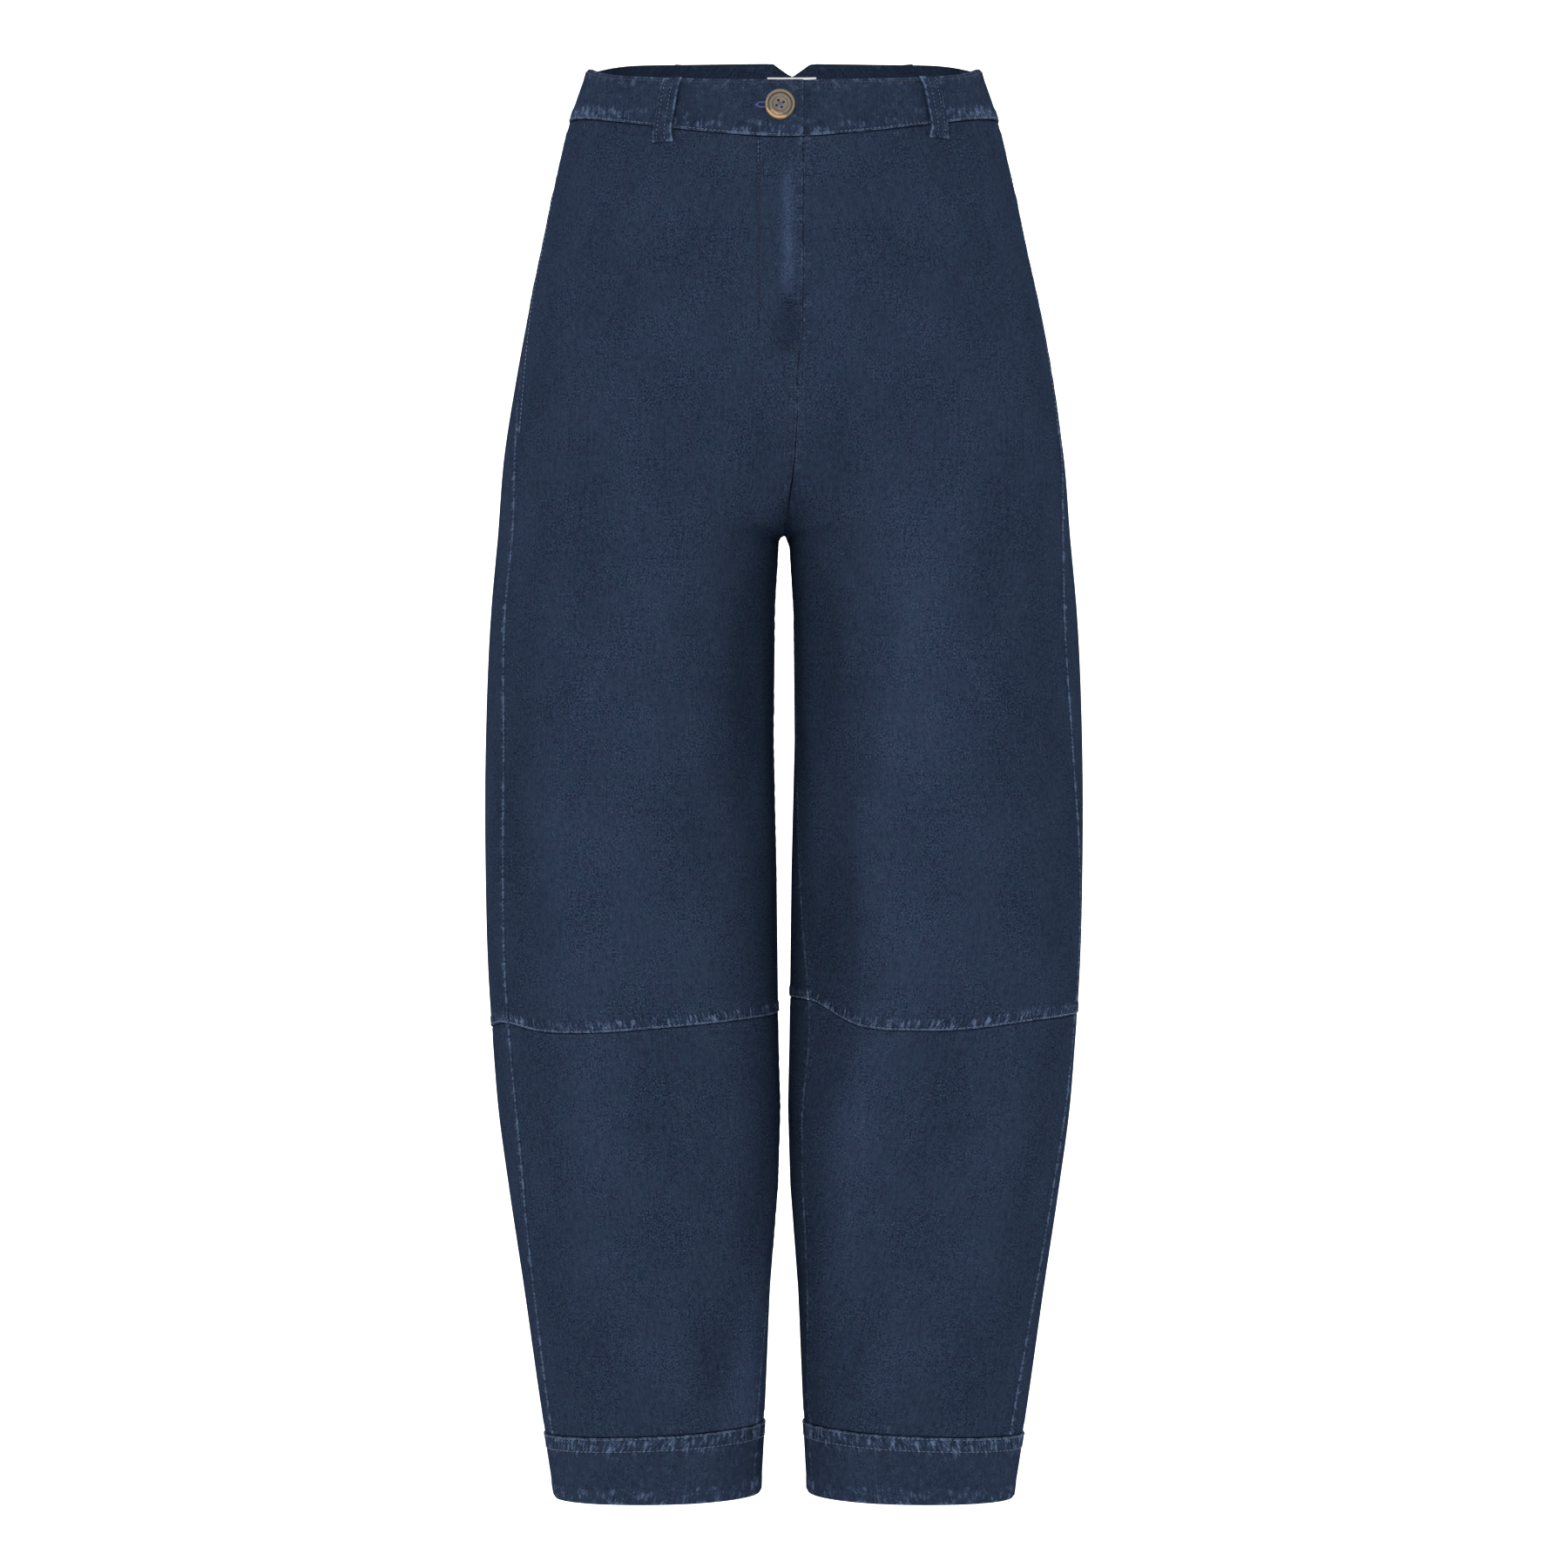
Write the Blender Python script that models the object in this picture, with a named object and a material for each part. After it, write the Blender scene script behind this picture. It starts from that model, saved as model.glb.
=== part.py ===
"""Jeans with barrel legs, hollow and filled out as they hang when worn.

Metres, +Z up, the front faces -Y. The origin is the middle of the waist.
Right and left are the wearer's: right is -X. Every panel is a wall between
two grids of points that follow the garment's horizontal sections.
"""

import math
from typing import NamedTuple

import bmesh
import bpy
import numpy as np
from mathutils import Matrix, Vector

# Cloth
WALL = 0.0014
BAND_WALL = 0.0024
SEAM_GAP = 0.0003
BAND_PROUD = 0.0006

# Heights
WAIST_Z = -0.0180
FORK_Z = -0.3020
FORK_FLAT = 0.0015
RISE_HEIGHT = 0.090
CUFF_TOP_Z = -0.9145
CUFF_TOP_TILT = 0.0040
HEM_Z = -0.9615
HEM_TILT = 0.0018

# How square a leg's section is: 2 is an ellipse
LEG_POWER = 2.12

# Where a leg's front and back turn in towards the fork, in degrees from its outer side
TURN_IN_ANGLE = 95
HIP_BLEND_HEIGHT = 0.125

# Half the room between the two legs' rings where they meet above the fork
HALF_FORK_GAP = 0.0002

# Side-seam pockets
POCKET_TOP_Z = -0.057
POCKET_LOW_Z = -0.233
POCKET_LIP = 0.0011
POCKET_LIP_WIDTH = 0.012
POCKET_LIP_FLAT = 0.002
POCKET_FADE = 0.014

# Fly
FLY_EDGE_X = 0.0128
FLY_WIDTH = 0.030
FLY_LOW_Z = -0.182
FLY_FADE = 0.014
FLY_RAISE = 0.0006
FLY_EDGE_RAISE = 0.0005
FLY_EDGE_WIDTH = 0.009
FLY_STEP = 0.004

# Where the middle back seam lies above the fork, to the left of the middle plane
CENTRE_BACK_X = 0.0056

# Zip behind the fly
ZIP_TOP_Z = -0.048
ZIP_LOW_Z = -0.186
ZIP_X = 0.0030
ZIP_TAPE_WIDTH = 0.028
ZIP_CHAIN_WIDTH = 0.006
ZIP_TAPE = 0.0011
ZIP_CHAIN = 0.0022
ZIP_CHAIN_STEP = 0.001

# Waistband: its right front end laps over the left one, and its top edge has a notch at the back
LAP_RAISE = 0.0008
LAP_LENGTH = 0.0340
LAP_FADE = 0.0120
UNDERLAP = 0.0300
UNDERLAP_DROP = 0.0019
UNDERLAP_OVER = 0.0015
UNDERLAP_EASE = 0.0085
NOTCH_HALF_WIDTH = 0.0135
NOTCH_FLAT = 0.0012
NOTCH_DEPTH = 0.0086

# Belt loops
LOOP_WIDTH = 0.0135
LOOP_THICK = 0.0018
LOOP_GAP = 0.0030
LOOP_BELOW_SEAM = 0.0108
LOOP_BELOW_TOP = 0.0002
LOOP_FOOT_SHARE = 0.05

# Waist button
BUTTON_X = -0.0026
BUTTON_Z = -0.0195
BUTTON_RADIUS = 0.0100
BUTTON_THICK = 0.0034
BUTTON_RIM = 0.0026
BUTTON_DISH = 0.0011
BUTTON_SIDES = 32
BUTTON_HOLE_RADIUS = 0.0010
BUTTON_HOLE_SPREAD = 0.0026
BUTTON_HOLE_TURN = math.radians(-20)
BUTTON_HOLE_SIDES = 10
BUTTON_HOLES = 4
BUTTON_DRILL_OVER = 0.001
BUTTON_GAP = 0.0006

# Blank label inside the back of the waistband
LABEL_WIDTH = 0.0350
LABEL_HEIGHT = 0.0160
LABEL_THICK = 0.0010
LABEL_DROP = 0.0103

# Grids
SAMPLE_STEP = 0.01
SAMPLE_OVER = 5
SHARP_ANGLE = math.radians(50)


class Section(NamedTuple):
    """One horizontal section, from the middle plane outwards, and how square the body's oval is."""

    z: float
    outer: float
    inner: float
    front: float
    back: float
    square: float = 2.75


SECTIONS = (
    Section(z=0.040, outer=0.1275, inner=0.0, front=0.0850, back=0.0975, square=2.10),
    Section(z=0.018, outer=0.1350, inner=0.0, front=0.0885, back=0.1010, square=2.10),
    Section(z=-0.018, outer=0.1472, inner=0.0, front=0.0945, back=0.1085, square=2.12),
    Section(z=-0.050, outer=0.1548, inner=0.0, front=0.0985, back=0.1170, square=2.18),
    Section(z=-0.100, outer=0.1649, inner=0.0, front=0.1035, back=0.1270, square=2.30),
    Section(z=-0.150, outer=0.1757, inner=0.0, front=0.1065, back=0.1320, square=2.45),
    Section(z=-0.200, outer=0.1848, inner=0.0, front=0.1080, back=0.1320, square=2.60),
    Section(z=-0.250, outer=0.1926, inner=0.0, front=0.1080, back=0.1280, square=2.70),
    Section(z=-0.303, outer=0.1969, inner=0.0036, front=0.1070, back=0.1215),
    Section(z=-0.353, outer=0.2014, inner=0.0064, front=0.1055, back=0.1160),
    Section(z=-0.443, outer=0.2052, inner=0.0072, front=0.1010, back=0.1075),
    Section(z=-0.533, outer=0.2054, inner=0.0050, front=0.0965, back=0.0990),
    Section(z=-0.605, outer=0.2034, inner=0.0042, front=0.0925, back=0.0925),
    Section(z=-0.650, outer=0.2004, inner=0.0036, front=0.0893, back=0.0880),
    Section(z=-0.695, outer=0.1968, inner=0.0026, front=0.0850, back=0.0825),
    Section(z=-0.749, outer=0.1896, inner=0.0042, front=0.0780, back=0.0745),
    Section(z=-0.821, outer=0.1788, inner=0.0096, front=0.0685, back=0.0635),
    Section(z=-0.893, outer=0.1686, inner=0.0126, front=0.0600, back=0.0530),
    Section(z=-0.965, outer=0.1575, inner=0.0165, front=0.0525, back=0.0450),
)


class SeamPlace(NamedTuple):
    """Where each leg's seams lie at one height, in degrees: 0 outer side, 90 front, 180 inner side."""

    z: float
    right_outseam: float
    right_inseam: float
    left_outseam: float
    left_inseam: float


SEAM_PLACES = (
    SeamPlace(z=-0.018, right_outseam=3, right_inseam=180, left_outseam=1, left_inseam=180),
    SeamPlace(z=-0.125, right_outseam=8.5, right_inseam=180, left_outseam=3, left_inseam=180),
    SeamPlace(z=-0.200, right_outseam=18.5, right_inseam=180, left_outseam=8.5, left_inseam=180),
    SeamPlace(z=-0.302, right_outseam=26, right_inseam=180, left_outseam=18, left_inseam=180),
    SeamPlace(z=-0.353, right_outseam=27, right_inseam=181, left_outseam=25, left_inseam=175),
    SeamPlace(z=-0.450, right_outseam=29, right_inseam=184, left_outseam=22, left_inseam=168),
    SeamPlace(z=-0.560, right_outseam=29, right_inseam=188, left_outseam=13, left_inseam=157),
    SeamPlace(z=-0.640, right_outseam=29, right_inseam=188, left_outseam=10, left_inseam=149),
    SeamPlace(z=-0.700, right_outseam=30, right_inseam=184, left_outseam=14, left_inseam=153),
    SeamPlace(z=-0.800, right_outseam=26, right_inseam=172, left_outseam=23, left_inseam=154),
    SeamPlace(z=-0.893, right_outseam=22, right_inseam=158, left_outseam=28, left_inseam=160),
    SeamPlace(z=-0.965, right_outseam=21, right_inseam=155, left_outseam=29, left_inseam=159),
)


class EdgeRise(NamedTuple):
    """An edge's height at the middle, its rise to the side, a second rise close to it, and their powers."""

    middle: float
    rise: float
    power: float
    side_rise: float = 0.0
    side_power: float = 10.0


WAIST_SEAM_FRONT = EdgeRise(middle=-0.0405, rise=0.0225, power=1.6)
WAIST_SEAM_BACK = EdgeRise(middle=0.0, rise=-0.0180, power=1.8)
BAND_TOP_FRONT = EdgeRise(middle=-0.0016, rise=0.0110, power=2.0, side_rise=0.0089, side_power=10.0)
BAND_TOP_BACK = EdgeRise(middle=0.0380, rise=-0.0095, power=2.0, side_rise=-0.0102, side_power=12.0)


class Height(NamedTuple):
    """A height of the knee seam at an angle round a leg."""

    angle: float
    z: float


RIGHT_KNEE = (
    Height(angle=-180, z=-0.6320),
    Height(angle=-90, z=-0.6360),
    Height(angle=0, z=-0.6375),
    Height(angle=90, z=-0.6386),
    Height(angle=180, z=-0.6320),
)
LEFT_KNEE = (
    Height(angle=-210, z=-0.6192),
    Height(angle=-180, z=-0.6192),
    Height(angle=-90, z=-0.6350),
    Height(angle=0, z=-0.6300),
    Height(angle=45, z=-0.6320),
    Height(angle=90, z=-0.6382),
    Height(angle=120, z=-0.6355),
    Height(angle=150, z=-0.6192),
    Height(angle=180, z=-0.6192),
)


class FrontSeam(NamedTuple):
    """Where the middle front seam lies to the left of the middle plane."""

    z: float
    x: float


FRONT_SEAM = (
    FrontSeam(z=-0.040, x=FLY_EDGE_X),
    FrontSeam(z=-0.176, x=FLY_EDGE_X),
    FrontSeam(z=-0.190, x=0.0098),
    FrontSeam(z=-0.233, x=0.0088),
    FrontSeam(z=-0.269, x=0.0070),
    FrontSeam(z=-0.293, x=0.0030),
    FrontSeam(z=-0.302, x=0.0),
)


class Fold(NamedTuple):
    """A long soft ridge, or a trough where its height is below 0, down one leg."""

    side: int
    top_z: float
    top_angle: float
    low_z: float
    low_angle: float
    half_width: float
    height: float


RIGHT = -1
LEFT = 1

FOLDS = (
    Fold(LEFT, top_z=-0.200, top_angle=88, low_z=-0.640, low_angle=113, half_width=0.026, height=0.0036),
    Fold(LEFT, top_z=-0.600, top_angle=112, low_z=-0.860, low_angle=140, half_width=0.022, height=0.0026),
    Fold(LEFT, top_z=-0.420, top_angle=137, low_z=-0.700, low_angle=135, half_width=0.020, height=-0.0038),
    Fold(LEFT, top_z=-0.300, top_angle=138, low_z=-0.450, low_angle=140, half_width=0.020, height=-0.0024),
    Fold(LEFT, top_z=-0.330, top_angle=50, low_z=-0.600, low_angle=42, half_width=0.024, height=-0.0016),
    Fold(RIGHT, top_z=-0.300, top_angle=140, low_z=-0.560, low_angle=144, half_width=0.022, height=-0.0026),
    Fold(RIGHT, top_z=-0.260, top_angle=66, low_z=-0.780, low_angle=74, half_width=0.030, height=0.0020),
    Fold(RIGHT, top_z=-0.360, top_angle=40, low_z=-0.600, low_angle=44, half_width=0.020, height=-0.0018),
    Fold(RIGHT, top_z=-0.820, top_angle=128, low_z=-0.905, low_angle=118, half_width=0.016, height=-0.0020),
    Fold(RIGHT, top_z=-0.330, top_angle=-100, low_z=-0.600, low_angle=-84, half_width=0.028, height=0.0030),
    Fold(RIGHT, top_z=-0.360, top_angle=-132, low_z=-0.640, low_angle=-126, half_width=0.022, height=-0.0030),
    Fold(LEFT, top_z=-0.320, top_angle=-94, low_z=-0.660, low_angle=-104, half_width=0.027, height=0.0032),
    Fold(LEFT, top_z=-0.380, top_angle=-60, low_z=-0.620, low_angle=-68, half_width=0.021, height=-0.0026),
    Fold(LEFT, top_z=-0.740, top_angle=-86, low_z=-0.880, low_angle=-96, half_width=0.018, height=0.0020),
)


class LoopPlace(NamedTuple):
    """A belt loop's place, by how far its middle lies from the middle plane at top and bottom."""

    name: str
    side: int
    front: bool
    top_x: float
    low_x: float


LOOP_PLACES = (
    LoopPlace("belt_loop_front_right", RIGHT, True, top_x=0.0740, low_x=0.0812),
    LoopPlace("belt_loop_front_left", LEFT, True, top_x=0.0960, low_x=0.1038),
    LoopPlace("belt_loop_back_right", RIGHT, False, top_x=0.0700, low_x=0.0760),
    LoopPlace("belt_loop_back_left", LEFT, False, top_x=0.0840, low_x=0.0900),
)


class Finish(NamedTuple):
    """A plain material: linear colour, roughness and metallic value."""

    name: str
    colour: tuple
    roughness: float
    metallic: float


DENIM = Finish("denim", (0.022, 0.032, 0.067), 0.92, 0.0)
DENIM_BAND = Finish("denim_band", (0.025, 0.036, 0.074), 0.92, 0.0)
HORN = Finish("horn", (0.075, 0.050, 0.036), 0.35, 0.0)
ZIP_BRASS = Finish("zip_brass", (0.36, 0.25, 0.10), 0.40, 0.9)
LABEL_WHITE = Finish("label_white", (0.80, 0.79, 0.76), 0.80, 0.0)


# Curves

def ease(value):
    """A soft step from 0 to 1."""
    share = np.clip(value, 0.0, 1.0)
    return share * share * (3 - 2 * share)


def smooth_value(rows, place, column, at):
    """The value at a place on a smooth curve through one column of a table."""
    rows = sorted(rows, key=lambda row: getattr(row, place))
    places = np.array([getattr(row, place) for row in rows])
    values = np.array([getattr(row, column) for row in rows])
    slopes = np.gradient(values, places)
    i = int(np.clip(np.searchsorted(places, at) - 1, 0, len(rows) - 2))
    span = places[i + 1] - places[i]
    s = float(np.clip((at - places[i]) / span, 0, 1))
    return float(
        (2 * s**3 - 3 * s**2 + 1) * values[i]
        + (s**3 - 2 * s**2 + s) * span * slopes[i]
        + (3 * s**2 - 2 * s**3) * values[i + 1]
        + (s**3 - s**2) * span * slopes[i + 1]
    )


def straight_value(rows, place, column, at):
    """The value at a place on straight lines through one column of a table."""
    rows = sorted(rows, key=lambda row: getattr(row, place))
    places = [getattr(row, place) for row in rows]
    values = [getattr(row, column) for row in rows]
    return float(np.interp(at, places, values))


# The garment's form

def inner_edge(z):
    """How far a leg's inner side lies from the middle plane."""
    if z >= FORK_Z:
        return HALF_FORK_GAP
    legs = [row for row in SECTIONS if row.inner > 0]
    opening = min(1.0, (FORK_Z - z) / FORK_FLAT)
    return HALF_FORK_GAP + opening * (straight_value(legs, "z", "inner", z) - HALF_FORK_GAP)


def body_shares(degrees, z):
    """0 on the legs and 1 on the body, at angles round a leg: the rise is round, the hips blend softly."""
    up = float(np.clip((z - FORK_Z) / RISE_HEIGHT, 0.0, 1.0))
    rounded = math.sqrt(1 - (1 - up) ** 2)
    soft = float(ease((z - FORK_Z) / HIP_BLEND_HEIGHT))
    near_fork = ease((np.abs(degrees) - TURN_IN_ANGLE) / (180 - TURN_IN_ANGLE))
    return soft + (rounded - soft) * near_fork


def section_sizes(z):
    """The outer half width, front depth, back depth and squareness of the section at one height."""
    return [smooth_value(SECTIONS, "z", column, z) for column in ("outer", "front", "back", "square")]


def oval(side, degrees, middle, outer, inner, front, back, power):
    """Points on an oval section between two places across, at angles from its outer side forwards."""
    angles = np.radians(degrees)
    cosine, sine = np.cos(angles), np.sin(angles)
    reach = np.where(cosine > 0, outer - middle, inner - middle)
    across = middle + reach * np.abs(cosine) ** (2 / power)
    along = np.abs(sine) ** (2 / power)
    depth = np.where(sine > 0, -front, back)
    return np.stack([side * across, depth * along], axis=1)


def leg_ring(side, degrees, z):
    """Points on a leg's section at one height."""
    outer, front, back, _ = section_sizes(z)
    return oval(side, degrees, outer / 2, outer, inner_edge(z), front, back, LEG_POWER)


def body_ring(side, degrees, z):
    """Points on the body's section at one height, at angles about the middle of the body."""
    outer, front, back, square = section_sizes(z)
    return oval(side, degrees, 0.0, outer, -outer, front, back, square)


def body_arc(side, degrees, z, end_x):
    """Points on the body's section over the same angles as a leg's, up to a middle seam."""
    outer, front, back, square = section_sizes(z)
    round_part = outer / 2 * (1 + np.cos(np.radians(degrees)))
    to_middle = (np.abs(degrees) - 90) / 90
    across = np.where(np.abs(degrees) < 90, round_part, outer / 2 + (side * end_x - outer / 2) * to_middle)
    along = (1 - np.clip(np.abs(across) / outer, 0.0, 1.0) ** square) ** (1 / square)
    return np.stack([side * across, np.where(degrees > 0, -front, back) * along], axis=1)


def body_spot(x, z, front):
    """The point and outward direction of the body's section at a place across its front or back."""
    outer, front_depth, back_depth, square = section_sizes(z)
    share = abs(x) / outer
    depth = front_depth if front else back_depth
    along = (1 - share**square) ** (1 / square)
    sign = -1 if front else 1
    normal = np.array([
        math.copysign(share ** (square - 1) / outer, x),
        sign * along ** (square - 1) / depth,
    ])
    return np.array([x, sign * depth * along]), normal / np.linalg.norm(normal)


def angle_of_x(side, x, z, front):
    """The angle about the body's middle at which its section passes a place across the front or back."""
    outer, _, _, square = section_sizes(z)
    share = side * x / outer
    degrees = math.degrees(math.acos(math.copysign(abs(share) ** (square / 2), share)))
    return degrees if front else -degrees


def centre_x(front, z):
    """Where the middle seam lies across the front or the back."""
    if front:
        return smooth_value(FRONT_SEAM, "z", "x", z) if z < FRONT_SEAM[1].z else FLY_EDGE_X
    return CENTRE_BACK_X * float(ease((z - FORK_Z) / RISE_HEIGHT))


def outseam_angle(side, z):
    """The angle round a leg at which its outseam lies."""
    return smooth_value(SEAM_PLACES, "z", "right_outseam" if side == RIGHT else "left_outseam", z)


def inseam_angle(side, z):
    """The angle round a leg at which its inseam lies, or above the fork the middle seam."""
    if z >= FORK_Z:
        return 180.0
    return smooth_value(SEAM_PLACES, "z", "right_inseam" if side == RIGHT else "left_inseam", z)


def fold_height(side, degrees, z):
    """How far the folds move the cloth out at each of the angles."""
    total = np.zeros(len(degrees))
    radius = smooth_value(SECTIONS, "z", "front", z)
    for fold in FOLDS:
        if fold.side != side:
            continue
        run = (fold.top_z - z) / (fold.top_z - fold.low_z)
        strength = math.sin(math.pi * min(max(run, 0.0), 1.0)) ** 1.2
        middle = fold.top_angle + run * (fold.low_angle - fold.top_angle)
        off = (degrees - middle + 180) % 360 - 180
        total += fold.height * strength * np.exp(-((np.radians(off) * radius / fold.half_width) ** 2))
    return total


class Course:
    """The cloth's outer line at one height, from a panel's first edge to its last."""

    def __init__(self, points, degrees, turn):
        """Measures a line whose edges lie SAMPLE_OVER samples in from its ends."""
        steps = np.linalg.norm(np.diff(points, axis=0), axis=1)
        run = np.concatenate([[0.0], np.cumsum(steps)])
        self.run = run - run[SAMPLE_OVER]
        self.length = float(self.run[-1 - SAMPLE_OVER])
        self.points = points
        self.degrees = degrees
        tangents = np.gradient(points, self.run, axis=0)
        tangents /= np.linalg.norm(tangents, axis=1)[:, None]
        self.normals = turn * np.stack([-tangents[:, 1], tangents[:, 0]], axis=1)

    def read(self, values, at):
        """A value along the line, at a length from its first edge."""
        return np.interp(at, self.run, values)

    def place(self, at):
        """The point and the outward direction at a length from the first edge."""
        point = np.array([self.read(self.points[:, k], at) for k in (0, 1)])
        normal = np.array([self.read(self.normals[:, k], at) for k in (0, 1)])
        return point, normal / np.linalg.norm(normal)


def sample_shares():
    """Even shares of a line, running a little past both its ends."""
    return np.arange(-SAMPLE_OVER, 1 / SAMPLE_STEP + SAMPLE_OVER + 1) * SAMPLE_STEP


def folded(side, points, degrees, turn, z):
    """The course through points once the folds have moved them."""
    flat = Course(points, degrees, turn)
    return Course(points + flat.normals * fold_height(side, degrees, z)[:, None], degrees, turn)


def panel_course(side, front, z):
    """The outer line of a front or back panel at one height, from outseam to inseam or middle seam."""
    outseam, inseam = outseam_angle(side, z), inseam_angle(side, z)
    last = inseam if front else inseam - 360
    degrees = outseam + sample_shares() * (last - outseam)
    shares = body_shares(degrees, z)[:, None]
    points = (1 - shares) * leg_ring(side, degrees, z)
    points += shares * body_arc(side, degrees, z, centre_x(front, z))
    return folded(side, points, degrees, side if front else -side, z)


def band_course(side, z, front_x, back_x):
    """The body's outer line at one height, from a place at the front round the side to the back."""
    first = angle_of_x(side, front_x, z, True)
    last = angle_of_x(side, back_x, z, False)
    degrees = first + sample_shares() * (last - first)
    return Course(body_ring(side, degrees, z), degrees, -side)


def leg_course(side, z):
    """A leg's whole outer line at one height, from the inseam round the front and back to it."""
    degrees = inseam_angle(side, z) - 360 * sample_shares()
    return folded(side, leg_ring(side, degrees, z), degrees, -side, z)


def across_share(point, z):
    """How far round to the side a point lies: 0 at the middle and 1 at the side."""
    return min(1.0, abs(point[0]) / smooth_value(SECTIONS, "z", "outer", z))


def risen_z(at_front, at_back, point, z):
    """The height of an edge that rises differently at the front and the back, near a point of the body."""
    edge = at_front if point[1] < 0 else at_back
    share = across_share(point, z)
    return edge.middle + edge.rise * share**edge.power + edge.side_rise * share**edge.side_power


def waist_seam_z(point, z):
    """The height of the seam under the waistband, near a point of the body's section."""
    return risen_z(WAIST_SEAM_FRONT, WAIST_SEAM_BACK, point, z)


def band_top_z(point, z):
    """The height of the waistband's top edge, near a point of the body's section."""
    return risen_z(BAND_TOP_FRONT, BAND_TOP_BACK, point, z)


def knee_z(side, degrees):
    """The height of the knee seam, at an angle round a leg."""
    return smooth_value(RIGHT_KNEE if side == RIGHT else LEFT_KNEE, "angle", "z", degrees)


def cuff_top_z(degrees):
    """The height of a cuff's top edge, which dips towards the outer side."""
    return CUFF_TOP_Z - CUFF_TOP_TILT * math.cos(math.radians(degrees))


def hem_z(degrees):
    """The height of a hem, which dips towards the outer side."""
    return HEM_Z - HEM_TILT * math.cos(math.radians(degrees))


# Solids

def new_material(finish):
    """A Principled material with a finish's values."""
    material = bpy.data.materials.new(finish.name)
    material.use_nodes = True
    shader = material.node_tree.nodes["Principled BSDF"]
    shader.inputs["Base Color"].default_value = (*finish.colour, 1.0)
    shader.inputs["Roughness"].default_value = finish.roughness
    shader.inputs["Metallic"].default_value = finish.metallic
    material.diffuse_color = (*finish.colour, 1.0)
    return material


def new_object(name, mesh, finish):
    """An object of the scene with its own material."""
    mesh.materials.append(new_material(finish))
    piece = bpy.data.objects.new(name, mesh)
    bpy.context.collection.objects.link(piece)
    return piece


def wall_between(name, outer, inner, finish):
    """One closed solid between two grids of points, given as rows by columns."""
    rows, columns = outer.shape[:2]
    shape = bmesh.new()
    grids = [[[shape.verts.new(point) for point in row] for row in points] for points in (outer, inner)]
    for grid in grids:
        for i in range(rows - 1):
            for j in range(columns - 1):
                shape.faces.new((grid[i][j], grid[i][j + 1], grid[i + 1][j + 1], grid[i + 1][j]))
    out, into = grids
    for i in range(rows - 1):
        for j in (0, columns - 1):
            shape.faces.new((out[i][j], out[i + 1][j], into[i + 1][j], into[i][j]))
    for j in range(columns - 1):
        for i in (0, rows - 1):
            shape.faces.new((out[i][j], out[i][j + 1], into[i][j + 1], into[i][j]))
    bmesh.ops.recalc_face_normals(shape, faces=shape.faces)
    mesh = bpy.data.meshes.new(name)
    shape.to_mesh(mesh)
    shape.free()
    mesh.shade_smooth()
    mesh.set_sharp_from_angle(angle=SHARP_ANGLE)
    return new_object(name, mesh, finish)


def wall_points(point, normal, z, out, wall):
    """The outer and inner point of a wall whose outer face stands out from the course."""
    outer = (*(point + normal * out), z)
    inner = (*(point + normal * (out - wall)), z)
    return outer, inner


def grid_of(rows, columns, place, wall):
    """The outer and inner grids of a wall; place(row, column) gives course, length, height and raise."""
    outer = np.zeros((rows, columns, 3))
    inner = np.zeros((rows, columns, 3))
    for i in range(rows):
        for j in range(columns):
            course, at, z, out = place(i, j)
            point, normal = course.place(at)
            outer[i, j], inner[i, j] = wall_points(point, normal, z, out, wall)
    return outer, inner


# Leg and body panels

UPPER_LEG_ROWS = 9
RISE_ROWS = 8
HIP_ROWS = 6
LOWER_LEG_ROWS = 9
FRONT_EDGE_STEPS = (0.006, 0.014)
FRONT_FLY_STEPS = (0.033, 0.026, 0.007)
FRONT_EVEN_COLUMNS = 9
BACK_COLUMNS = 12
EDGE_STEPS = 4


def front_lengths(length):
    """Lengths of the front panel's columns, closer by the pocket and the fly."""
    first, last = FRONT_EDGE_STEPS[-1], length - FRONT_FLY_STEPS[0]
    even = np.linspace(first, last, FRONT_EVEN_COLUMNS + 1)
    near_fly = [length - step for step in FRONT_FLY_STEPS[1:]]
    lengths = [0.0, FRONT_EDGE_STEPS[0], *even, *near_fly, length]
    return within_gap(np.array(lengths), length)


def even_lengths(length, columns):
    """Lengths of evenly spaced columns."""
    return within_gap(np.linspace(0.0, length, columns + 1), length)


def within_gap(lengths, length):
    """The lengths with half a seam's gap left free at both edges."""
    return np.clip(lengths, SEAM_GAP / 2, length - SEAM_GAP / 2)


def panel_lengths(front, length):
    """Lengths of a panel's columns."""
    return front_lengths(length) if front else even_lengths(length, BACK_COLUMNS)


def edge_height(course_at, lengths_of, column, edge_z, z):
    """The height at which a column meets an edge that rises and falls round the body or leg."""
    for _ in range(EDGE_STEPS):
        course = course_at(z)
        at = lengths_of(course.length)[column]
        z = edge_z(course.place(at)[0], float(course.read(course.degrees, at)), z)
    return z


def upper_heights(low, top):
    """Heights of a column's rows in an upper panel, from the knee seam to the waist seam."""
    leg = np.linspace(low + SEAM_GAP / 2, FORK_Z - FORK_FLAT, UPPER_LEG_ROWS + 1)
    rise = FORK_Z + RISE_HEIGHT * (np.arange(RISE_ROWS + 1) / RISE_ROWS) ** 2
    hip = np.linspace(rise[-1], top - SEAM_GAP / 2, HIP_ROWS + 1)[1:]
    return np.concatenate([leg, rise, hip])


def lower_heights(low, top):
    """Heights of a column's rows in a lower panel, from the cuff to the knee seam."""
    return np.linspace(low + SEAM_GAP / 2, top - SEAM_GAP / 2, LOWER_LEG_ROWS + 1)


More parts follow.
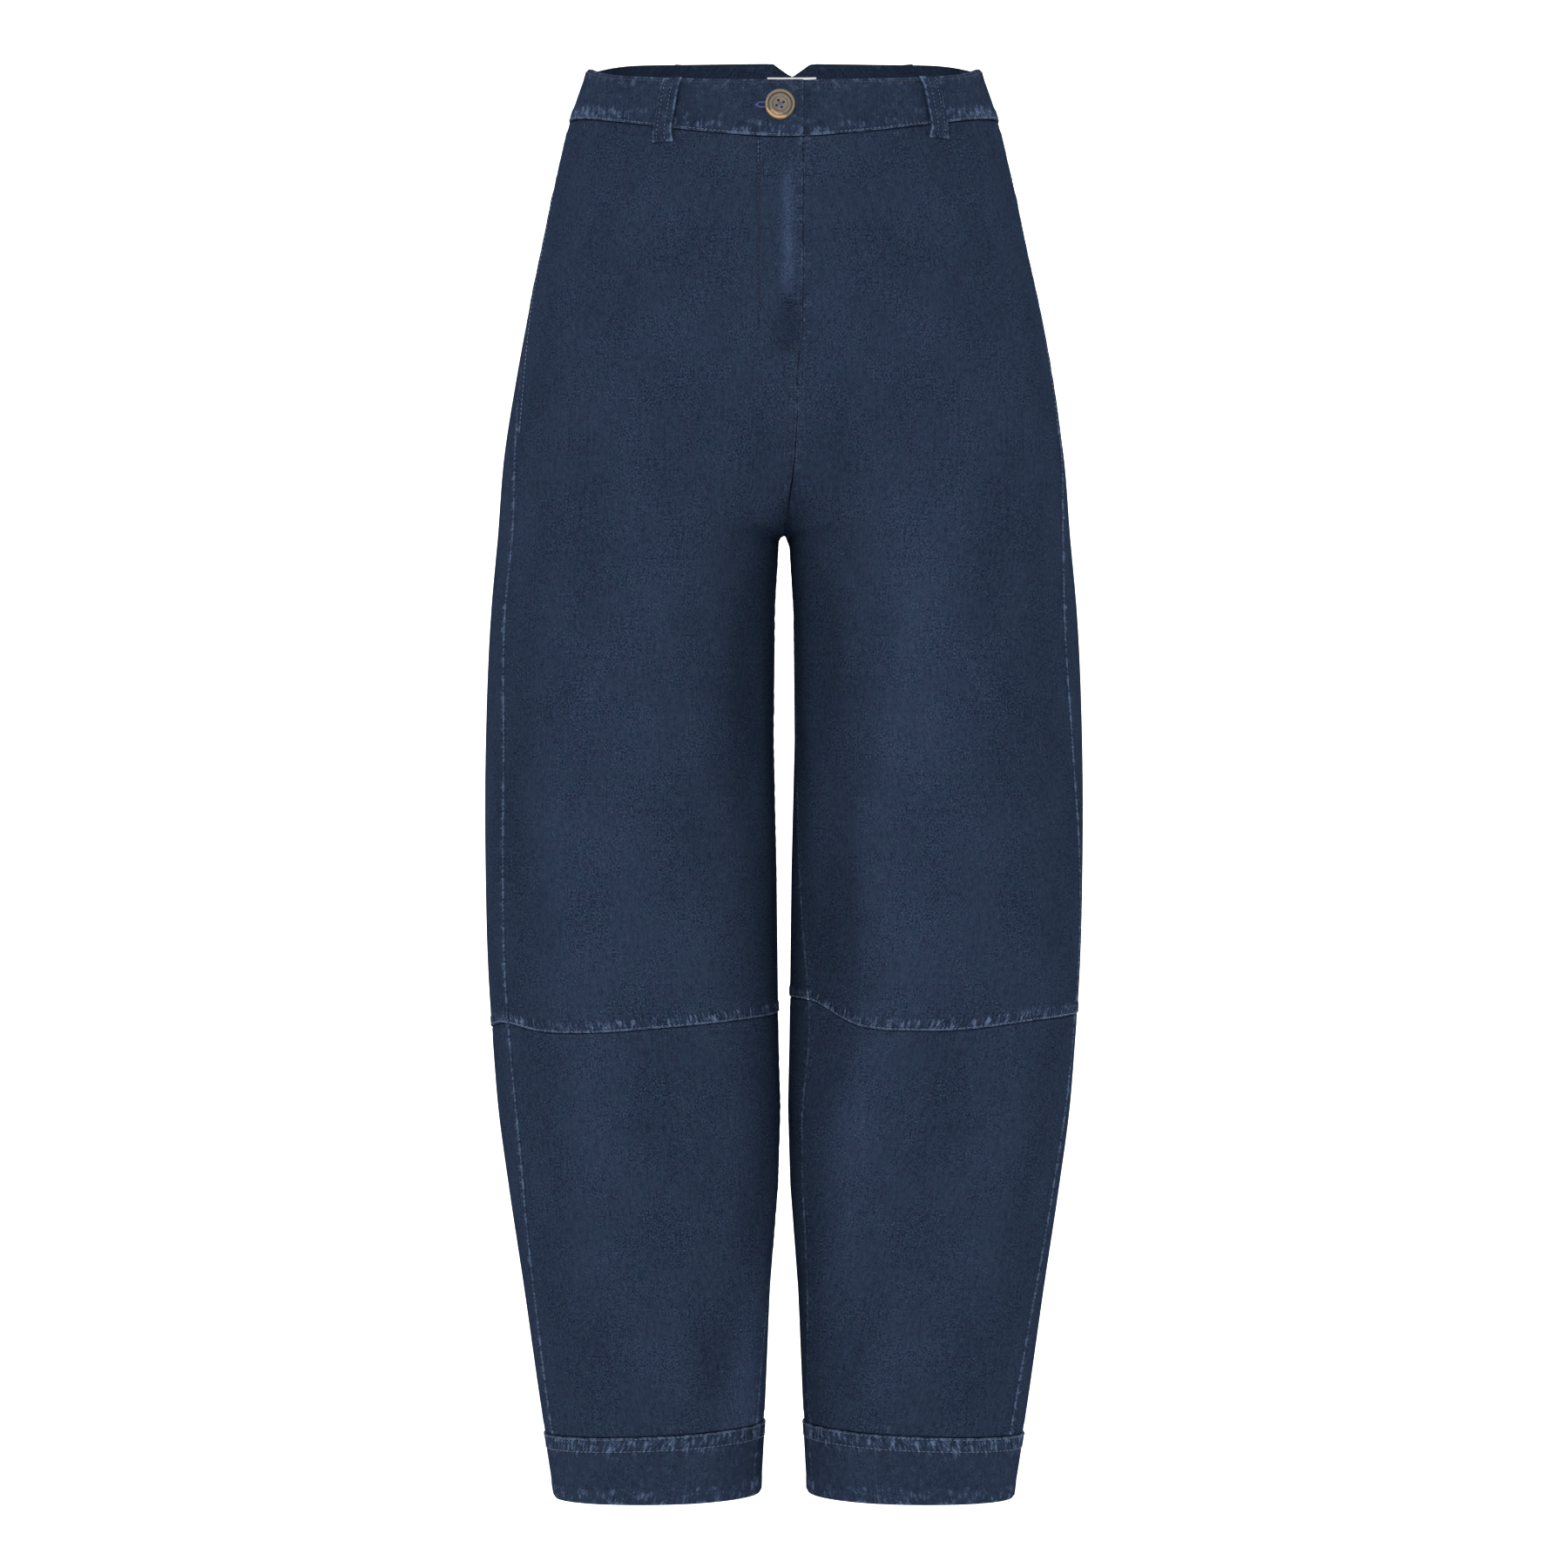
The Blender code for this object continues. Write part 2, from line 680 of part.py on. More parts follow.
def pocket_raise(at, z):
    """How far the front edge of a pocket stands out, at a length from the outseam."""
    along = ease((POCKET_TOP_Z - z) / POCKET_FADE) * ease((z - POCKET_LOW_Z) / POCKET_FADE)
    return POCKET_LIP * along * ease(1 - (at - POCKET_LIP_FLAT) / POCKET_LIP_WIDTH)


def layer_end(width, at):
    """1 on a layer of the width given and 0 past its end, at a length from its first edge."""
    return ease((width + FLY_STEP / 4 - at) / FLY_STEP)


def fly_raise(to_edge, z):
    """How far the fly stands out, at a length from its edge."""
    along = ease((z - FLY_LOW_Z) / FLY_FADE)
    layers = FLY_RAISE * layer_end(FLY_WIDTH, to_edge) + FLY_EDGE_RAISE * layer_end(FLY_EDGE_WIDTH, to_edge)
    return along * layers


def panel_edges(side, front, edge_z, z):
    """The height of an edge at each of a panel's columns."""
    def course_at(height):
        return panel_course(side, front, height)

    def lengths_of(length):
        return panel_lengths(front, length)

    count = len(lengths_of(1.0))
    return [edge_height(course_at, lengths_of, j, edge_z, z) for j in range(count)]


def panel(name, side, front, heights, raised):
    """A panel's wall between rows at the heights given for each column."""
    def place(i, j):
        z = float(heights[j][i])
        course = panel_course(side, front, z)
        at = panel_lengths(front, course.length)[j]
        return course, at, z, float(raised(course, at, z))

    outer, inner = grid_of(len(heights[0]), len(heights), place, WALL)
    return wall_between(name, outer, inner, DENIM)


def knee_edges(side, front):
    """The height of the knee seam at each of a panel's columns."""
    return panel_edges(side, front, lambda point, degrees, z: knee_z(side, degrees), knee_z(side, 0))


def upper_panel(name, side, front):
    """A front or back panel from the waist seam down to the knee seam."""
    lows = knee_edges(side, front)
    tops = panel_edges(side, front, lambda point, degrees, z: waist_seam_z(point, z), WAIST_Z)

    def raised(course, at, z):
        out = pocket_raise(at, z) if front else 0.0
        if front and side == RIGHT:
            out += fly_raise(course.length - at, z)
        return out

    heights = [upper_heights(low, top) for low, top in zip(lows, tops)]
    return panel(name, side, front, heights, raised)


def lower_panel(name, side, front):
    """A front or back panel from the knee seam down to the cuff."""
    lows = panel_edges(side, front, lambda point, degrees, z: cuff_top_z(degrees), CUFF_TOP_Z)
    heights = [lower_heights(low, top) for low, top in zip(lows, knee_edges(side, front))]
    return panel(name, side, front, heights, lambda course, at, z: 0.0)


# Cuffs

CUFF_COLUMNS = 32
CUFF_ROWS = 3


def cuff(name, side):
    """The hem band of a leg: one strip sewn at the inseam."""
    def course_at(z):
        return leg_course(side, z)

    def lengths_of(length):
        return even_lengths(length, CUFF_COLUMNS)

    def edges(edge_z, z):
        return [edge_height(course_at, lengths_of, j, edge_z, z) for j in range(CUFF_COLUMNS + 1)]

    lows = edges(lambda point, degrees, z: hem_z(degrees), HEM_Z)
    tops = edges(lambda point, degrees, z: cuff_top_z(degrees), CUFF_TOP_Z)

    def place(i, j):
        z = lows[j] + i / (CUFF_ROWS - 1) * (tops[j] - SEAM_GAP / 2 - lows[j])
        course = course_at(z)
        return course, lengths_of(course.length)[j], z, BAND_PROUD

    outer, inner = grid_of(CUFF_ROWS, CUFF_COLUMNS + 1, place, BAND_WALL)
    return wall_between(name, outer, inner, DENIM_BAND)


# Waistband

BAND_EVEN_COLUMNS = 18
BAND_ROWS = 3
LAP_STEPS = (0.0, 0.012, 0.023, 0.034, 0.040, 0.046)
UNDERLAP_STEPS = (0.0, 0.010, 0.020, 0.0315, 0.0340, 0.0365, 0.0400)
NOTCH_STEPS = (0.0175, 0.0135, 0.0095, 0.0055, 0.0020, 0.0)


def band_lengths(length, side):
    """Lengths of a waistband's columns, closer at its front end and at the notch."""
    first = LAP_STEPS if side == RIGHT else UNDERLAP_STEPS
    last = [length - step for step in NOTCH_STEPS]
    even = np.linspace(first[-1], last[0], BAND_EVEN_COLUMNS + 1)[1:-1]
    lengths = np.array([*first, *even, *last])
    lengths[-1] -= SEAM_GAP / 2
    return lengths


def band_raise(at, side):
    """How far a waistband's face stands out, at a length from its front end."""
    if side == RIGHT:
        return BAND_PROUD + LAP_RAISE * float(ease((LAP_LENGTH + LAP_FADE - at) / LAP_FADE))
    under = float(ease((UNDERLAP + UNDERLAP_OVER + UNDERLAP_EASE - at) / UNDERLAP_EASE))
    return BAND_PROUD - UNDERLAP_DROP * under


def notch_drop(to_end):
    """How far the top edge falls at the middle back, at a length from the middle seam."""
    share = (to_end - NOTCH_FLAT) / (NOTCH_HALF_WIDTH - NOTCH_FLAT)
    return NOTCH_DEPTH * float(np.clip(1 - share, 0.0, 1.0))


def waistband(name, side):
    """Half of the waistband, from its front end round the side to the middle back."""
    front_x = FLY_EDGE_X if side == RIGHT else FLY_EDGE_X - UNDERLAP

    def course_at(z):
        return band_course(side, z, front_x, CENTRE_BACK_X)

    def lengths_of(length):
        return band_lengths(length, side)

    def edges(edge_z):
        count = len(lengths_of(1.0))
        return [edge_height(course_at, lengths_of, j, edge_z, WAIST_Z) for j in range(count)]

    lows = edges(lambda point, degrees, z: waist_seam_z(point, z))
    tops = edges(lambda point, degrees, z: band_top_z(point, z))

    def place(i, j):
        share = i / (BAND_ROWS - 1)
        course = course_at(tops[j])
        at = lengths_of(course.length)[j]
        top = tops[j] - notch_drop(course.length - at)
        low = lows[j] + SEAM_GAP / 2
        z = low + share * (top - low)
        course = course_at(z)
        at = lengths_of(course.length)[j]
        return course, at, z, band_raise(at, side)

    outer, inner = grid_of(BAND_ROWS, len(lows), place, BAND_WALL)
    return wall_between(name, outer, inner, DENIM_BAND)


# Belt loops


class LoopRow(NamedTuple):
    """One bend of a belt loop: its share of the way up, and its share of the full gap."""

    up: float
    gap: float


LOOP_ROWS = (
    LoopRow(up=0.00, gap=0.00),
    LoopRow(up=0.06, gap=0.00),
    LoopRow(up=0.15, gap=0.70),
    LoopRow(up=0.24, gap=1.00),
    LoopRow(up=0.50, gap=1.05),
    LoopRow(up=0.76, gap=1.00),
    LoopRow(up=0.87, gap=0.70),
    LoopRow(up=0.95, gap=0.05),
    LoopRow(up=1.00, gap=0.00),
)


def belt_loop(where):
    """A folded strip sewn over the waistband, standing clear of it between its ends."""
    low_spot = body_spot(where.side * where.low_x, WAIST_Z, where.front)[0]
    top_spot = body_spot(where.side * where.top_x, 0.0, where.front)[0]
    low_z = waist_seam_z(low_spot, WAIST_Z) - LOOP_BELOW_SEAM
    top_z = band_top_z(top_spot, 0.0) - LOOP_BELOW_TOP
    outer = np.zeros((len(LOOP_ROWS), 2, 3))
    inner = np.zeros((len(LOOP_ROWS), 2, 3))
    for i, row in enumerate(LOOP_ROWS):
        z = low_z + row.up * (top_z - low_z)
        x = where.low_x + row.up * (where.top_x - where.low_x)
        spot, normal = body_spot(where.side * x, z, where.front)
        tangent = np.array([-normal[1], normal[0]])
        on_band = BAND_PROUD * float(ease(row.up / LOOP_FOOT_SHARE - 1))
        clear = on_band + 2 * SEAM_GAP + LOOP_GAP * row.gap
        for j, step in enumerate((-LOOP_WIDTH / 2, LOOP_WIDTH / 2)):
            foot = spot + tangent * step
            outer[i, j], inner[i, j] = wall_points(foot, normal, z, clear + LOOP_THICK, LOOP_THICK)
    return wall_between(where.name, outer, inner, DENIM_BAND)


# Zip

ZIP_ROWS = 10


def fly_zip():
    """The closed zip behind the fly: a tape with a thicker chain down its middle."""
    half_tape, half_chain = ZIP_TAPE_WIDTH / 2, ZIP_CHAIN_WIDTH / 2
    chain_foot = half_chain + ZIP_CHAIN_STEP
    columns = (-half_tape, -chain_foot, -half_chain, half_chain, chain_foot, half_tape)
    thick = (ZIP_TAPE, ZIP_TAPE, ZIP_CHAIN, ZIP_CHAIN, ZIP_TAPE, ZIP_TAPE)
    outer = np.zeros((ZIP_ROWS, len(columns), 3))
    inner = np.zeros((ZIP_ROWS, len(columns), 3))
    for i in range(ZIP_ROWS):
        z = ZIP_TOP_Z + i / (ZIP_ROWS - 1) * (ZIP_LOW_Z - ZIP_TOP_Z)
        for j, column in enumerate(columns):
            spot, normal = body_spot(ZIP_X + column, z, True)
            outer[i, j], inner[i, j] = wall_points(spot, normal, z, -WALL - SEAM_GAP, thick[j])
    return wall_between("fly_zip", outer, inner, ZIP_BRASS)


# Label

LABEL_ROWS = 2
LABEL_COLUMNS = 6


def waist_label():
    """A blank woven label inside the back of the waistband."""
    top = band_top_z(body_spot(CENTRE_BACK_X, 0.0, False)[0], 0.0) - LABEL_DROP
    outer = np.zeros((LABEL_ROWS + 1, LABEL_COLUMNS + 1, 3))
    inner = np.zeros((LABEL_ROWS + 1, LABEL_COLUMNS + 1, 3))
    for i in range(LABEL_ROWS + 1):
        z = top - i / LABEL_ROWS * LABEL_HEIGHT
        for j in range(LABEL_COLUMNS + 1):
            x = CENTRE_BACK_X + (j / LABEL_COLUMNS - 0.5) * LABEL_WIDTH
            spot, normal = body_spot(x, z, False)
            clear = BAND_PROUD - BAND_WALL - SEAM_GAP
            outer[i, j], inner[i, j] = wall_points(spot, normal, z, clear, LABEL_THICK)
    return wall_between("waist_label", outer, inner, LABEL_WHITE)


# Button


class Turned(NamedTuple):
    """A point of the button's half profile: radius and height over its back."""

    radius: float
    height: float


BUTTON_PROFILE = (
    Turned(radius=0.0, height=0.0),
    Turned(radius=BUTTON_RADIUS - 0.0016, height=0.0),
    Turned(radius=BUTTON_RADIUS, height=0.0014),
    Turned(radius=BUTTON_RADIUS - 0.0002, height=0.0026),
    Turned(radius=BUTTON_RADIUS - 0.0013, height=BUTTON_THICK),
    Turned(radius=BUTTON_RADIUS - BUTTON_RIM, height=0.0031),
    Turned(radius=BUTTON_RADIUS - BUTTON_RIM - 0.0008, height=BUTTON_THICK - BUTTON_DISH),
    Turned(radius=0.0, height=BUTTON_THICK - BUTTON_DISH),
)


def turned_mesh(name, profile, sides):
    """A solid of revolution about Z from a half profile that starts and ends on the axis."""
    shape = bmesh.new()
    rings = []
    for spot in profile:
        if spot.radius == 0:
            rings.append([shape.verts.new((0, 0, spot.height))])
            continue
        turns = [2 * math.pi * k / sides for k in range(sides)]
        rings.append([
            shape.verts.new((spot.radius * math.cos(a), spot.radius * math.sin(a), spot.height)) for a in turns
        ])
    for low, high in zip(rings, rings[1:]):
        for k in range(sides):
            n = (k + 1) % sides
            if len(low) == 1:
                shape.faces.new((low[0], high[k], high[n]))
            elif len(high) == 1:
                shape.faces.new((low[k], low[n], high[0]))
            else:
                shape.faces.new((low[k], low[n], high[n], high[k]))
    bmesh.ops.recalc_face_normals(shape, faces=shape.faces)
    mesh = bpy.data.meshes.new(name)
    shape.to_mesh(mesh)
    shape.free()
    mesh.shade_smooth()
    mesh.set_sharp_from_angle(angle=SHARP_ANGLE)
    return mesh


def button_place():
    """The button's place: its back on the waistband's slope, with its face along local +Z."""
    def front_of(z):
        return Vector((*body_spot(BUTTON_X, z, True)[0], z))

    low, high = front_of(BUTTON_Z - BUTTON_RADIUS), front_of(BUTTON_Z + BUTTON_RADIUS)
    up = (high - low).normalized()
    out = up.cross(Vector((1, 0, 0))).normalized()
    if out.y > 0:
        out = -out
    across = up.cross(out).normalized()
    centre = (low + high) / 2 + out * (BAND_PROUD + LAP_RAISE + BUTTON_GAP)
    place = Matrix((across, up, out)).transposed().to_4x4()
    place.translation = centre
    return place


def waist_button():
    """The four-hole button of the waistband."""
    button = new_object("waist_button", turned_mesh("waist_button", BUTTON_PROFILE, BUTTON_SIDES), HORN)
    place = button_place()
    low, high = -BUTTON_DRILL_OVER, BUTTON_THICK + BUTTON_DRILL_OVER
    drill_profile = (
        Turned(radius=0.0, height=low),
        Turned(radius=BUTTON_HOLE_RADIUS, height=low),
        Turned(radius=BUTTON_HOLE_RADIUS, height=high),
        Turned(radius=0.0, height=high),
    )
    drill_mesh = turned_mesh("button_hole_cutter", drill_profile, BUTTON_HOLE_SIDES)
    for k in range(BUTTON_HOLES):
        turn = BUTTON_HOLE_TURN + 2 * math.pi * (k + 0.5) / BUTTON_HOLES
        drill = bpy.data.objects.new(f"button_hole_cutter_{k + 1}", drill_mesh)
        bpy.context.collection.objects.link(drill)
        spot = Vector((BUTTON_HOLE_SPREAD * math.cos(turn), BUTTON_HOLE_SPREAD * math.sin(turn), 0))
        drill.matrix_world = place @ Matrix.Translation(spot)
        drill.hide_render = True
        drill.display_type = "WIRE"
        cut = button.modifiers.new(f"hole_{k + 1}", "BOOLEAN")
        cut.operation = "DIFFERENCE"
        cut.object = drill
        cut.solver = "EXACT"
    button.matrix_world = place
    return button


# Everything

def clear_scene():
    """Removes the objects that the scene already holds."""
    for old in list(bpy.data.objects):
        bpy.data.objects.remove(old, do_unlink=True)


def main():
    """Builds the jeans."""
    clear_scene()
    for side, word in ((RIGHT, "right"), (LEFT, "left")):
        for front, face in ((True, "front"), (False, "back")):
            upper_panel(f"{face}_{word}_upper", side, front)
            lower_panel(f"{face}_{word}_lower", side, front)
        cuff(f"cuff_{word}", side)
        waistband(f"waistband_{word}", side)
    for where in LOOP_PLACES:
        belt_loop(where)
    fly_zip()
    waist_label()
    waist_button()


main()
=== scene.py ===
"""Barrel-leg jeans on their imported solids: cloth, creases, seams, stitching, button and label.

Metres, +Z up, the front faces -Y, and right and left are the wearer's: right is -X.
Each cloth piece is a thin shell over the garment's horizontal sections.
"""

import logging
import math
from dataclasses import dataclass, field
from enum import Enum
from typing import Callable, NamedTuple, Sequence

import bmesh
import bpy
import numpy as np
from mathutils import Matrix, Vector


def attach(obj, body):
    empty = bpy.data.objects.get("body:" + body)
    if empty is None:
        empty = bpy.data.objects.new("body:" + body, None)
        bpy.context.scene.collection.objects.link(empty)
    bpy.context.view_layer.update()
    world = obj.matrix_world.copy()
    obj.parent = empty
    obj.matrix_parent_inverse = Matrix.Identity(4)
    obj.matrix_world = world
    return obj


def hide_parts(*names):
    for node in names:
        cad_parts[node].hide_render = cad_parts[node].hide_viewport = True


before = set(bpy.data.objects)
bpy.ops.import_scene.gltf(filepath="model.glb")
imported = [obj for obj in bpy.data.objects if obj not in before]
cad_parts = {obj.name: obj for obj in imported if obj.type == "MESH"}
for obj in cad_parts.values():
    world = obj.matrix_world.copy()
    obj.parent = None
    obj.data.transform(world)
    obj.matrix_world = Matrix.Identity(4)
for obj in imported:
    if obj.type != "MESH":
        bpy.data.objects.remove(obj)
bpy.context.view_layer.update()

log = logging.getLogger("jeans")

Array = np.ndarray
Triple = tuple[float, float, float]
Piece = bpy.types.Object

BODY = "root"
CLOTH_MAP = "cloth"
MAP_SCALE = 0.9
WEAR = "wear"
# Light and shade painted into the cloth's colour: lighter above 0, darker below 0.
PAINTED_LIGHT = "fade"
GATHER = "gather"


class Side(Enum):
    """The wearer's side, with its sign along X."""

    RIGHT = -1
    LEFT = 1


class Face(Enum):
    """The front or the back of the garment."""

    FRONT = "front"
    BACK = "back"


# The garment's form


class Section(NamedTuple):
    """One horizontal section, from the middle plane outwards, and how square the body's oval is."""

    z: float
    outer: float
    inner: float
    front: float
    back: float
    square: float = 2.75


SECTIONS = (
    Section(0.040, 0.1275, 0.0, 0.0850, 0.0975, 2.10),
    Section(0.018, 0.1350, 0.0, 0.0885, 0.1010, 2.10),
    Section(-0.018, 0.1472, 0.0, 0.0945, 0.1085, 2.12),
    Section(-0.050, 0.1548, 0.0, 0.0985, 0.1170, 2.18),
    Section(-0.100, 0.1649, 0.0, 0.1035, 0.1270, 2.30),
    Section(-0.150, 0.1757, 0.0, 0.1065, 0.1320, 2.45),
    Section(-0.200, 0.1848, 0.0, 0.1080, 0.1320, 2.60),
    Section(-0.250, 0.1926, 0.0, 0.1080, 0.1280, 2.70),
    Section(-0.303, 0.1969, 0.0036, 0.1070, 0.1215),
    Section(-0.353, 0.2014, 0.0064, 0.1055, 0.1160),
    Section(-0.443, 0.2052, 0.0072, 0.1010, 0.1075),
    Section(-0.533, 0.2054, 0.0050, 0.0965, 0.0990),
    Section(-0.605, 0.2034, 0.0042, 0.0925, 0.0925),
    Section(-0.650, 0.2004, 0.0036, 0.0893, 0.0880),
    Section(-0.695, 0.1968, 0.0026, 0.0850, 0.0825),
    Section(-0.749, 0.1896, 0.0042, 0.0780, 0.0745),
    Section(-0.821, 0.1788, 0.0096, 0.0685, 0.0635),
    Section(-0.893, 0.1686, 0.0126, 0.0600, 0.0530),
    Section(-0.965, 0.1575, 0.0165, 0.0525, 0.0450),
)


class SeamPlace(NamedTuple):
    """Where each leg's seams lie at one height, in degrees: 0 outer side, 90 front, 180 inner side."""

    z: float
    right_outseam: float
    right_inseam: float
    left_outseam: float
    left_inseam: float


SEAM_PLACES = (
    SeamPlace(-0.018, 3, 180, 1, 180),
    SeamPlace(-0.125, 9.5, 180, 3, 180),
    SeamPlace(-0.200, 21, 180, 9, 180),
    SeamPlace(-0.302, 31.4, 180, 23.5, 180),
    SeamPlace(-0.353, 30.4, 181, 29, 175),
    SeamPlace(-0.450, 32.5, 184, 25.5, 168),
    SeamPlace(-0.560, 32, 188, 14, 157),
    SeamPlace(-0.640, 32.3, 188, 15.5, 149),
    SeamPlace(-0.700, 33.5, 184, 19.5, 153),
    SeamPlace(-0.800, 27.5, 172, 24, 154),
    SeamPlace(-0.893, 24.5, 158, 30, 160),
    SeamPlace(-0.965, 24, 155, 31.5, 159),
)


class Height(NamedTuple):
    """A height of an edge or seam at an angle round a leg."""

    angle: float
    z: float


KNEES = {
    Side.RIGHT: (
        Height(-180, -0.6295),
        Height(-90, -0.6360),
        Height(-30, -0.6415),
        Height(0, -0.6404),
        Height(30, -0.6352),
        Height(55, -0.6400),
        Height(75, -0.6398),
        Height(100, -0.6365),
        Height(140, -0.6320),
        Height(180, -0.6295),
    ),
    Side.LEFT: (
        Height(-210, -0.6192),
        Height(-180, -0.6192),
        Height(-90, -0.6350),
        Height(0, -0.6300),
        Height(45, -0.6320),
        Height(90, -0.6382),
        Height(120, -0.6355),
        Height(150, -0.6192),
        Height(180, -0.6192),
    ),
}


class FrontSeam(NamedTuple):
    """Where the middle front seam lies to the left of the middle plane."""

    z: float
    x: float


class EdgeRise(NamedTuple):
    """An edge's height at the middle, its rise to the side, a second rise close to it, and their powers."""

    middle: float
    rise: float
    power: float
    side_rise: float = 0.0
    side_power: float = 10.0


WAIST_SEAM_FRONT = EdgeRise(middle=-0.0405, rise=0.0225, power=1.6)
WAIST_SEAM_BACK = EdgeRise(middle=0.0, rise=-0.0180, power=1.8)
BAND_TOP_FRONT = EdgeRise(middle=-0.0016, rise=0.0110, power=2.0, side_rise=0.0089, side_power=10.0)
BAND_TOP_BACK = EdgeRise(middle=0.0380, rise=-0.0095, power=2.0, side_rise=-0.0102, side_power=12.0)

FLY_EDGE_X = 0.0128
FRONT_SEAM = (
    FrontSeam(-0.040, FLY_EDGE_X),
    FrontSeam(-0.176, FLY_EDGE_X),
    FrontSeam(-0.190, 0.0098),
    FrontSeam(-0.233, 0.0088),
    FrontSeam(-0.269, 0.0070),
    FrontSeam(-0.293, 0.0030),
    FrontSeam(-0.302, 0.0),
)


class Crease(NamedTuple):
    """A long soft ridge, or a trough where its height is below 0, down one leg."""

    side: Side
    top_z: float
    top_angle: float
    low_z: float
    low_angle: float
    half_width: float
    height: float


FOLDS = (
    Crease(Side.LEFT, -0.200, 88, -0.640, 113, 0.026, 0.0036),
    Crease(Side.LEFT, -0.600, 112, -0.860, 140, 0.022, 0.0026),
    Crease(Side.LEFT, -0.420, 137, -0.700, 135, 0.020, -0.0038),
    Crease(Side.LEFT, -0.300, 138, -0.450, 140, 0.020, -0.0024),
    Crease(Side.LEFT, -0.330, 50, -0.600, 42, 0.024, -0.0016),
    Crease(Side.RIGHT, -0.300, 140, -0.560, 144, 0.022, -0.0026),
    Crease(Side.RIGHT, -0.260, 66, -0.780, 74, 0.030, 0.0020),
    Crease(Side.RIGHT, -0.360, 40, -0.600, 44, 0.020, -0.0018),
    Crease(Side.RIGHT, -0.820, 128, -0.905, 118, 0.016, -0.0020),
    Crease(Side.RIGHT, -0.330, -100, -0.600, -84, 0.028, 0.0030),
    Crease(Side.RIGHT, -0.360, -132, -0.640, -126, 0.022, -0.0030),
    Crease(Side.LEFT, -0.320, -94, -0.660, -104, 0.027, 0.0032),
    Crease(Side.LEFT, -0.380, -60, -0.620, -68, 0.021, -0.0026),
    Crease(Side.LEFT, -0.740, -86, -0.880, -96, 0.018, 0.0020),
)

# Smaller creases that only the dressed cloth has
CREASES = (
    Crease(Side.LEFT, -0.440, 128, -0.690, 126, 0.007, -0.0012),
    Crease(Side.LEFT, -0.250, 150, -0.360, 112, 0.008, -0.0010),
    Crease(Side.LEFT, -0.280, 158, -0.345, 132, 0.006, 0.0008),
    Crease(Side.LEFT, -0.590, 60, -0.690, 66, 0.012, -0.0009),
    Crease(Side.LEFT, -0.860, 62, -0.912, 58, 0.012, -0.0012),
    Crease(Side.RIGHT, -0.255, 156, -0.350, 122, 0.008, -0.0008),
    Crease(Side.RIGHT, -0.700, 118, -0.800, 112, 0.010, -0.0008),
    Crease(Side.RIGHT, -0.690, 54, -0.860, 60, 0.009, 0.0006),
    Crease(Side.RIGHT, -0.600, -112, -0.690, -74, 0.009, -0.0013),
    Crease(Side.RIGHT, -0.640, -120, -0.740, -80, 0.010, -0.0011),
    Crease(Side.LEFT, -0.585, -70, -0.670, -108, 0.009, -0.0013),
    Crease(Side.LEFT, -0.650, -76, -0.725, -112, 0.010, -0.0010),
    Crease(Side.RIGHT, -0.270, -150, -0.380, -110, 0.009, -0.0012),
    Crease(Side.LEFT, -0.280, -152, -0.375, -116, 0.009, -0.0012),
)


def ease(value: Array | float) -> Array:
    """A soft step from 0 to 1."""
    share = np.clip(value, 0.0, 1.0)
    return share * share * (3 - 2 * share)


def bell(value: Array | float) -> Array:
    """A soft bump that is 1 at 0 and fades by 1 on either side."""
    return np.exp(-np.square(value))


class Curve:
    """A smooth curve through one column of a table."""

    def __init__(self, rows: Sequence[NamedTuple], place: str, column: str) -> None:
        """Reads the table.

        Args:
            rows: The table's rows.
            place: The column that the curve runs along.
            column: The column that it gives.
        """
        ordered = sorted(rows, key=lambda row: getattr(row, place))
        self.places = np.array([getattr(row, place) for row in ordered])
        self.values = np.array([getattr(row, column) for row in ordered])
        self.slopes = np.gradient(self.values, self.places)

    def at(self, where: Array) -> Array:
        """The curve's values at the places given.

        Args:
            where: Places along the curve.

        Returns:
            A value for each place.
        """
        i = np.clip(np.searchsorted(self.places, where) - 1, 0, len(self.places) - 2)
        span = self.places[i + 1] - self.places[i]
        s = np.clip((where - self.places[i]) / span, 0, 1)
        return (
            (2 * s**3 - 3 * s**2 + 1) * self.values[i]
            + (s**3 - 2 * s**2 + s) * span * self.slopes[i]
            + (3 * s**2 - 2 * s**3) * self.values[i + 1]
            + (s**3 - s**2) * span * self.slopes[i + 1]
        )


class Ripple:
    """An uneven wave along a seam: its crests differ in height and spacing."""

    def __init__(self, seed: int, span: float, step: float) -> None:
        """Lays out the crests and troughs.

        Args:
            seed: A number that gives this wave its own unevenness.
            span: The length that the wave covers.
            step: The mean distance from a crest to the next trough.
        """
        made = np.random.default_rng(seed)
        count = int(2 * span / step) + 8
        self.places = np.cumsum(step * made.uniform(0.5, 1.6, count)) - 3 * step
        self.heights = np.where(np.arange(count) % 2, 1, -1) * made.uniform(0.25, 1.0, count)

    def at(self, along: Array) -> Array:
        """The wave's height, from -1 to 1, at lengths along the seam.

        Args:
            along: Lengths along the seam.

        Returns:
            A value for each place.
        """
        i = np.clip(np.searchsorted(self.places, along) - 1, 0, len(self.places) - 2)
        share = ease((along - self.places[i]) / (self.places[i + 1] - self.places[i]))
        return self.heights[i] + share * (self.heights[i + 1] - self.heights[i])


